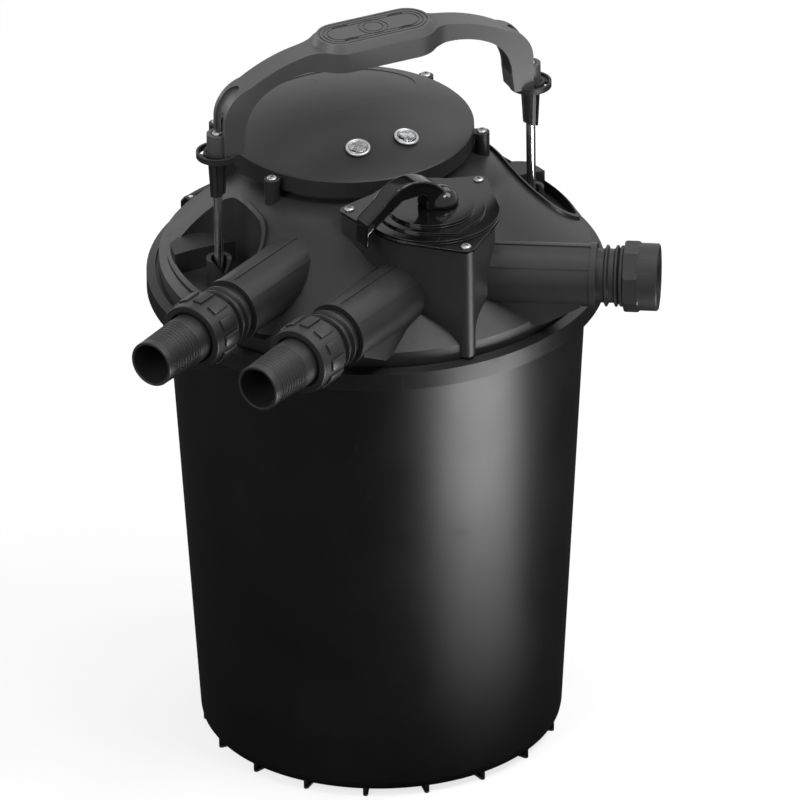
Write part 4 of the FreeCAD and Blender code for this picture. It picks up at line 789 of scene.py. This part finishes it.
# %% One screw
HEAD_R, HEAD_H, SHANK_R, SHANK_LEN = 0.0044, 0.0026, 0.0019, 0.012
head = rounded([(0, -SHANK_LEN), (SHANK_R, -SHANK_LEN), (SHANK_R, 0), (HEAD_R, 0, 0.0003),
                (HEAD_R, HEAD_H * 0.5, 0.0006), (HEAD_R * 0.7, HEAD_H * 0.9, 0.001), (0, HEAD_H)], 0.0003)
screw = helper(turned(head, "screw_steel", 40))
SLOT_LONG, SLOT_WIDE, SLOT_FLOOR, SLOT_ROUND = 0.0026, 0.0005, HEAD_H * 0.35, 0.0001
bar = [(-SLOT_LONG, -SLOT_WIDE), (SLOT_LONG, -SLOT_WIDE), (SLOT_LONG, SLOT_WIDE), (-SLOT_LONG, SLOT_WIDE)]
bars = [prism(bar, SLOT_FLOOR, HEAD_H * 2, SLOT_ROUND) for _ in range(2)]
cross = helper(joined(bars[0], moved_to(bars[1], Matrix.Rotation(pi / 2, 4, "Z"))))
cut = screw.modifiers.new("cross", "BOOLEAN")
cut.operation, cut.object, cut.solver, cut.use_self = "DIFFERENCE", cross, "EXACT", True
bpy.context.view_layer.update()
graph = bpy.context.evaluated_depsgraph_get()
screw_mesh = tidy(bpy.data.meshes.new_from_object(screw.evaluated_get(graph), depsgraph=graph), 30)
bpy.data.objects.remove(screw)
bpy.data.objects.remove(cross)
print("screw faces:", len(screw_mesh.polygons))

# %% [markdown]
# Five screws stand on the posts round the lamp cover, three on the ears of the valve cover, and one in each leg of
# the handle. Each set is one piece, because its screws ride on one body.

# %% Screws in their places
HOUSING_Y = 0.052
COVER_SCREW_R, COVER_SCREW_Z = 0.114, RING_RISE + 0.107
VALVE_SCREW_R, VALVE_SCREW_Z = 0.070, RING_RISE + 0.1045
HANDLE_SCREW_Z = RING_RISE + 0.159


def round_points(radius, angles, y, z):
    return [(radius * cos(radians(a)), y + radius * sin(radians(a)), z) for a in angles]


ROD_X = (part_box("rod_right")[0].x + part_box("rod_right")[1].x) / 2
PLACES = {
    "uv_cover_screws": round_points(COVER_SCREW_R, (-150, -30, 30, 90, 150), HOUSING_Y, COVER_SCREW_Z),
    "valve_cover_screws": round_points(VALVE_SCREW_R, (-90, 30, 150), VALVE_Y, VALVE_SCREW_Z),
    "handle_screws": [(s * ROD_X, 0, HANDLE_SCREW_Z) for s in (-1, 1)],
}
for seed, (node, points) in enumerate(PLACES.items()):
    cloud = bpy.data.meshes.new("points")
    cloud.from_pydata(points, [], [])
    held = helper(screw_mesh.copy())
    mesh = grow(SCREWS, {"Screw": held, "Seed": seed, "Material": LOOK["screw_steel"]}, cloud)
    bpy.data.objects.remove(held)
    dress(new_piece(node + "_piece", tidy(mesh, 30), "screw_steel"), node)
    print(node, len(points))

# %% [markdown]
# Two indicator lenses stand on the cover's front slope. Each has a rim, a star of bright facets behind it and a
# clear dome on top. All three are made upright at the origin, tilted with the slope and moved to their holes.

# %% Indicator lenses
LENS_R, LENS_AT, LENS_SPREAD, LENS_LIFT = 0.0106, 0.0715, 18.5, 0.0012
COVER_R, DOME_RISE, CREASE = 0.107, 0.021, RING_RISE + 0.111
share = LENS_AT / COVER_R
tilt = atan2(2 * DOME_RISE * share, COVER_R)
RIM_W, RIM_LEDGE, RIM_FOOT, RIM_SIDE, RIM_TOP, RIM_IN = 0.0022, 0.0012, 0.0004, 0.0016, 0.0024, 0.0018
rim = rounded([(LENS_R - RIM_W, RIM_FOOT), (LENS_R, RIM_FOOT), (LENS_R, RIM_SIDE, 0.0006),
               (LENS_R - RIM_LEDGE, RIM_TOP, 0.0006), (LENS_R - RIM_W, RIM_IN), (LENS_R - RIM_W, RIM_FOOT)],
              0.0002)
CLEAR_R, CLEAR_FLOOR, CLEAR_FOOT, CLEAR_H = LENS_R - 0.0024, 0.0012, 0.0014, 0.0023
dome = [(0, CLEAR_FLOOR)] + [(CLEAR_R * cos(a), CLEAR_FOOT + CLEAR_H * sin(a))
                             for a in (radians(d) for d in range(0, 91, 10))]
DISH_R, DISH_DEEP, DISH_STEP, DISH_EDGE, DISH_TOP = LENS_R - 0.0036, 0.003, 0.0002, 0.0009, 0.0005
dish = [(0, -DISH_DEEP), (DISH_R, -DISH_DEEP), (DISH_R, DISH_STEP), (LENS_R - RIM_W, DISH_STEP),
        (LENS_R - RIM_W, DISH_EDGE), (0, DISH_TOP)]
PETALS, PETAL_IN, PETAL_WIDEST, PETAL_HALF, PETAL_OUT = 10, 0.0012, 0.0042, 0.0010, LENS_R - 0.0032
petal = prism([(PETAL_IN, 0), (PETAL_WIDEST, -PETAL_HALF), (PETAL_OUT, 0), (PETAL_WIDEST, PETAL_HALF)],
              0.0004, 0.0011, 0.0002)
bead = [(0, 0.0004), (0.0016, 0.0006), (0.0013, 0.0012), (0, 0.0014)]
places = []
for degrees_round in (-90 - LENS_SPREAD, -90 + LENS_SPREAD):
    a = radians(degrees_round)
    spot = Vector((LENS_AT * cos(a), HOUSING_Y + LENS_AT * sin(a),
                   CREASE + DOME_RISE * (1 - share * share) + LENS_LIFT))
    places.append(Matrix.Translation(spot) @ Matrix.Rotation(tilt, 4, Vector((-sin(a), cos(a), 0))))


def lens_back():
    """Rim, dish, bead and star of one lens, upright at the origin."""
    return joined(turned(rim, "metallised", 64), turned(dish, "metallised", 64), turned(bead, "metallised", 24),
                  repeated(petal.copy(), PETALS, "metallised"))


backs = [moved_to(lens_back(), place) for place in places]
lens_backs = new_piece("lens_stars_piece", joined(*backs), "metallised")
dress(lens_backs, "indicator_lenses")
domes = [moved_to(turned(dome, "clear_lens", 64), place) for place in places]
lens_domes = new_piece("lens_domes_piece", joined(*domes), "clear_lens")
dress(lens_domes, "indicator_lenses")
print("lens tilt", round(tilt * 180 / pi, 1), "degrees")

# %% [markdown]
# Under the front ear of the valve's cover the housing runs down into a post, and on the real lid the two flow into
# each other in a hollow curve. Level sections make that curve: each is a teardrop from the round housing to the
# round ear, its root gets wider with height, and neighbours are joined like the hoops of a barrel.

# %% Front post of the valve housing
HOUSING_R, EAR_ROUND, EAR_STEPS, DEEP_IN = 0.05415, 0.00725, 16, 0.02
POST_FOOT, VALVE_SEAT = RING_RISE + 0.002, RING_RISE + 0.1018
FOOT_HALF, FLARE_HIGH, FLARE_BEND, HOOPS = 0.0115, 0.042, 2.2, 14
full_half = HOUSING_R * sin(acos((HOUSING_R - EAR_ROUND) / VALVE_SCREW_R))


def teardrop(half):
    """Level section along +X from the housing to the ear; half is half its width at the root."""
    root = Vector((sqrt(HOUSING_R ** 2 - half ** 2), half))
    to_root = root - Vector((VALVE_SCREW_R, 0))
    lean = atan2(to_root.y, to_root.x) - acos(EAR_ROUND / to_root.length)
    arc = [(VALVE_SCREW_R + EAR_ROUND * cos(a), EAR_ROUND * sin(a))
           for a in (lean * (1 - 2 * i / EAR_STEPS) for i in range(EAR_STEPS + 1))]
    return [tuple(root)] + arc + [(root.x, -half), (DEEP_IN, 0)]


hoops = [(POST_FOOT + FLARE_HIGH * i / HOOPS, FOOT_HALF + (full_half - FOOT_HALF) * (i / HOOPS) ** FLARE_BEND)
         for i in range(HOOPS + 1)] + [(VALVE_SEAT, full_half)]
bm = bmesh.new()
rows = [[bm.verts.new((x, y, z)) for x, y in teardrop(half)] for z, half in hoops]
for low_row, high_row in zip(rows, rows[1:]):
    for i in range(len(low_row)):
        k = (i + 1) % len(low_row)
        bm.faces.new((low_row[i], low_row[k], high_row[k], high_row[i]))
bm.faces.new(rows[0])
bm.faces.new(rows[-1])
mesh = bpy.data.meshes.new("valve_post")
bm.to_mesh(mesh)
bm.free()
to_front = Matrix.Translation((0, VALVE_Y, 0)) @ Matrix.Rotation(radians(-90), 4, "Z")
post = new_piece("valve_post_piece", tidy(moved_to(mesh, to_front), 30), "lid_black")
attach(post, BODY_OF["lid"])
print("post widest at its root:", round(full_half * 2000, 1), "mm")

# %% [markdown]
# The lever is polished and plump, and its arch flows into the ball of its hub without an edge. Its solid is
# remeshed into small even cells, and smoothing melts the edges and the joint between arch and ball. Foam has no
# sharp edge anywhere either, so the same function makes the discs of the next step.


# %% Valve lever
def melted(mesh, cell, times):
    """Mesh of small even cells, smoothed until its edges are round."""
    held = helper(mesh)
    cells = held.modifiers.new("cells", "REMESH")
    cells.mode, cells.voxel_size = "VOXEL", cell
    ease = held.modifiers.new("ease", "SMOOTH")
    ease.factor, ease.iterations = 0.5, times
    bpy.context.view_layer.update()
    graph = bpy.context.evaluated_depsgraph_get()
    out = bpy.data.meshes.new_from_object(held.evaluated_get(graph), depsgraph=graph)
    bpy.data.objects.remove(held)
    return out


def merged_copy(node, keep=None):
    """A node's mesh with its doubles merged, without the points that keep refuses."""
    bm = bmesh.new()
    bm.from_mesh(NODES[node].data)
    bmesh.ops.remove_doubles(bm, verts=bm.verts, dist=1e-6)
    if keep:
        bmesh.ops.delete(bm, geom=[v for v in bm.verts if not keep(v.co)], context="VERTS")
    mesh = bpy.data.meshes.new(node)
    bm.to_mesh(mesh)
    bm.free()
    return mesh


LEVER_CELL, LEVER_EASE = 0.0007, 24
lever = new_piece("valve_lever_piece", tidy(melted(merged_copy("valve_lever"), LEVER_CELL, LEVER_EASE), 180),
                  "gloss_black")
dress(lever, "valve_lever")
print("lever faces:", len(lever.data.polygons))

# %% [markdown]
# Four foam discs fill the bucket. Each is melted on its own, so that its edges and holes are soft and the joints
# between the discs stay open. The finish does the pores.

# %% Foam discs
FOAM_CELL, FOAM_EASE, FOAM_DISCS = 0.0045, 6, 4
low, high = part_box("foam_discs")
tall = (high.z - low.z) / FOAM_DISCS
discs = []
for i in range(FOAM_DISCS):
    middle = low.z + (i + 0.5) * tall
    one = merged_copy("foam_discs", keep=lambda co: abs(co.z - middle) < tall * 0.55)
    discs.append(melted(one, FOAM_CELL, FOAM_EASE))
foam = new_piece("foam_discs_piece", tidy(joined(*discs), 180), "foam_blue")
dress(foam, "foam_discs")
print("foam triangles:", sum(len(p.vertices) - 2 for p in foam.data.polygons))

# %% [markdown]
# The studio is a white sweep. Soft lamps light the lid from the front, the right and above, weaker ones fill in
# from the left and behind. Black plastic shows mostly what it mirrors, and the camera looks down, so the bucket's
# wall mirrors the floor. A dark card lies on the floor to keep the wall black, and two low strips of light lie on
# it, which draw one soft upright line. Card and strips are seen by reflections only.


# %% Lamps
def softbox(name, at, aim, width, height, power, seen_by="all"):
    lamp = bpy.data.lights.new(name, "AREA")
    lamp.shape, lamp.size, lamp.size_y, lamp.energy = "RECTANGLE", width, height, power
    made = bpy.data.objects.new(name, lamp)
    SCENE.collection.objects.link(made)
    made.location = at
    made.rotation_mode = "QUATERNION"
    made.rotation_quaternion = (Vector(aim) - Vector(at)).to_track_quat("-Z", "Y")
    made.visible_camera = False
    made.visible_diffuse = seen_by == "all"
    return made


LID_MIDDLE = (0, 0, 0.45)
softbox("key_front", (0.55, -1.2, 2.6), (0, -0.1, 0.45), 0.8, 0.8, 36)
softbox("key_right", (1.35, -0.78, 2.1), LID_MIDDLE, 0.9, 0.9, 18)
softbox("top", (0.3, 0.05, 2.9), (0, -0.05, 0.45), 1.2, 1.2, 14)
softbox("back_right", (1.4, 0.75, 1.9), LID_MIDDLE, 1.0, 1.0, 7)
softbox("left_fill", (-2.2, -1.0, 1.6), (0, 0, 0.5), 1.2, 1.2, 42)
softbox("back_left", (-1.1, 1.9, 1.0), LID_MIDDLE, 0.7, 0.7, 8)

STRIP_DEG, STRIP_HIGH = -62.0, 0.004
strip_way = Vector((cos(radians(STRIP_DEG)), sin(radians(STRIP_DEG)), 0))
face_up = (Matrix.Rotation(radians(STRIP_DEG), 3, "Z") @ Matrix.Rotation(pi, 3, "X")).to_quaternion()
for name, near, far, wide, power in (("strip_far", 0.56, 0.96, 0.52, 17.0), ("strip_near", 0.3, 0.56, 0.28, 0.5)):
    at = strip_way * (near + far) / 2 + Vector((0, 0, STRIP_HIGH))
    strip = softbox(name, at, at + Vector((0, 0, 1)), far - near, wide, power, seen_by="reflections")
    strip.rotation_quaternion = face_up
print("strip light at", STRIP_DEG, "degrees")

# %% [markdown]
# The background has to come out white without more light on the filter. Floor and world therefore look plain white
# to the camera, to mirrors and to glass, and give a modest light to everything else. A quarter of the floor stays
# lit paper, so that the filter still casts its shadow on it.


# %% World
def white_for_the_eye(tree, plain_part, white_part, amount):
    """Mixes in plain white for what the camera, a mirror or a glass sees."""
    seen = add(tree, "ShaderNodeLightPath").outputs
    any_of = calc(tree, "ADD", calc(tree, "ADD", seen["Is Camera Ray"], seen["Is Glossy Ray"]),
                  seen["Is Transmission Ray"], clamp=True)
    blend = add(tree, "ShaderNodeMixShader")
    feed(tree, calc(tree, "MULTIPLY", any_of, amount), blend.inputs[0])
    feed(tree, plain_part, blend.inputs[1])
    feed(tree, white_part, blend.inputs[2])
    return blend.outputs[0]


WORLD_LIGHT, PAPER_WHITE = 0.4, 0.75
world = bpy.data.worlds.new("studio")
SCENE.world = world
world.use_nodes = True
tree = world.node_tree
dim = tree.nodes["Background"]
dim.inputs["Color"].default_value, dim.inputs["Strength"].default_value = (1, 1, 1, 1), WORLD_LIGHT
bright = add(tree, "ShaderNodeBackground")
bright.inputs["Color"].default_value, bright.inputs["Strength"].default_value = (1, 1, 1, 1), 1.0
feed(tree, white_for_the_eye(tree, dim.outputs[0], bright.outputs[0], 1.0),
     tree.nodes["World Output"].inputs["Surface"])
print("world light:", WORLD_LIGHT)

# %% [markdown]
# Floor and card are plain squares. The card lies just above the floor and shows in reflections only.


# %% Floor and dark card
def stage_sheet(name, half, z, material):
    mesh = bpy.data.meshes.new(name)
    mesh.from_pydata([(-half, -half, z), (half, -half, z), (half, half, z), (-half, half, z)], [], [(0, 1, 2, 3)])
    sheet = bpy.data.objects.new(name, mesh)
    SCENE.collection.objects.link(sheet)
    mesh.materials.append(material)
    return sheet


paper, tree, shader = new_material("floor_paper")
where = add(tree, "ShaderNodeTexCoord").outputs["Object"]
fibre = texture(tree, "ShaderNodeTexNoise", where, Scale=40.0, Detail=5.0)
feed(tree, mix_colour(tree, fibre.outputs[0], (0.87, 0.87, 0.87, 1), (0.89, 0.89, 0.89, 1)),
     shader.inputs["Base Color"])
shader.inputs["Roughness"].default_value = 0.95
shader.inputs["Specular IOR Level"].default_value = 0.1
glow = add(tree, "ShaderNodeEmission")
feed(tree, white_for_the_eye(tree, shader.outputs[0], glow.outputs[0], PAPER_WHITE),
     tree.nodes["Material Output"].inputs["Surface"])
stage_sheet("floor", 8.0, 0.0, paper)

card, tree, shader = new_material("dark_card")
shader.inputs["Base Color"].default_value = (0.02, 0.02, 0.02, 1)
shader.inputs["Roughness"].default_value = 0.9
shader.inputs["Specular IOR Level"].default_value = 0.1
dark = stage_sheet("dark_card", 2.2, 0.002, card)
dark.visible_camera = dark.visible_diffuse = dark.visible_transmission = dark.visible_shadow = False
SCENE.view_settings.view_transform = "Standard"
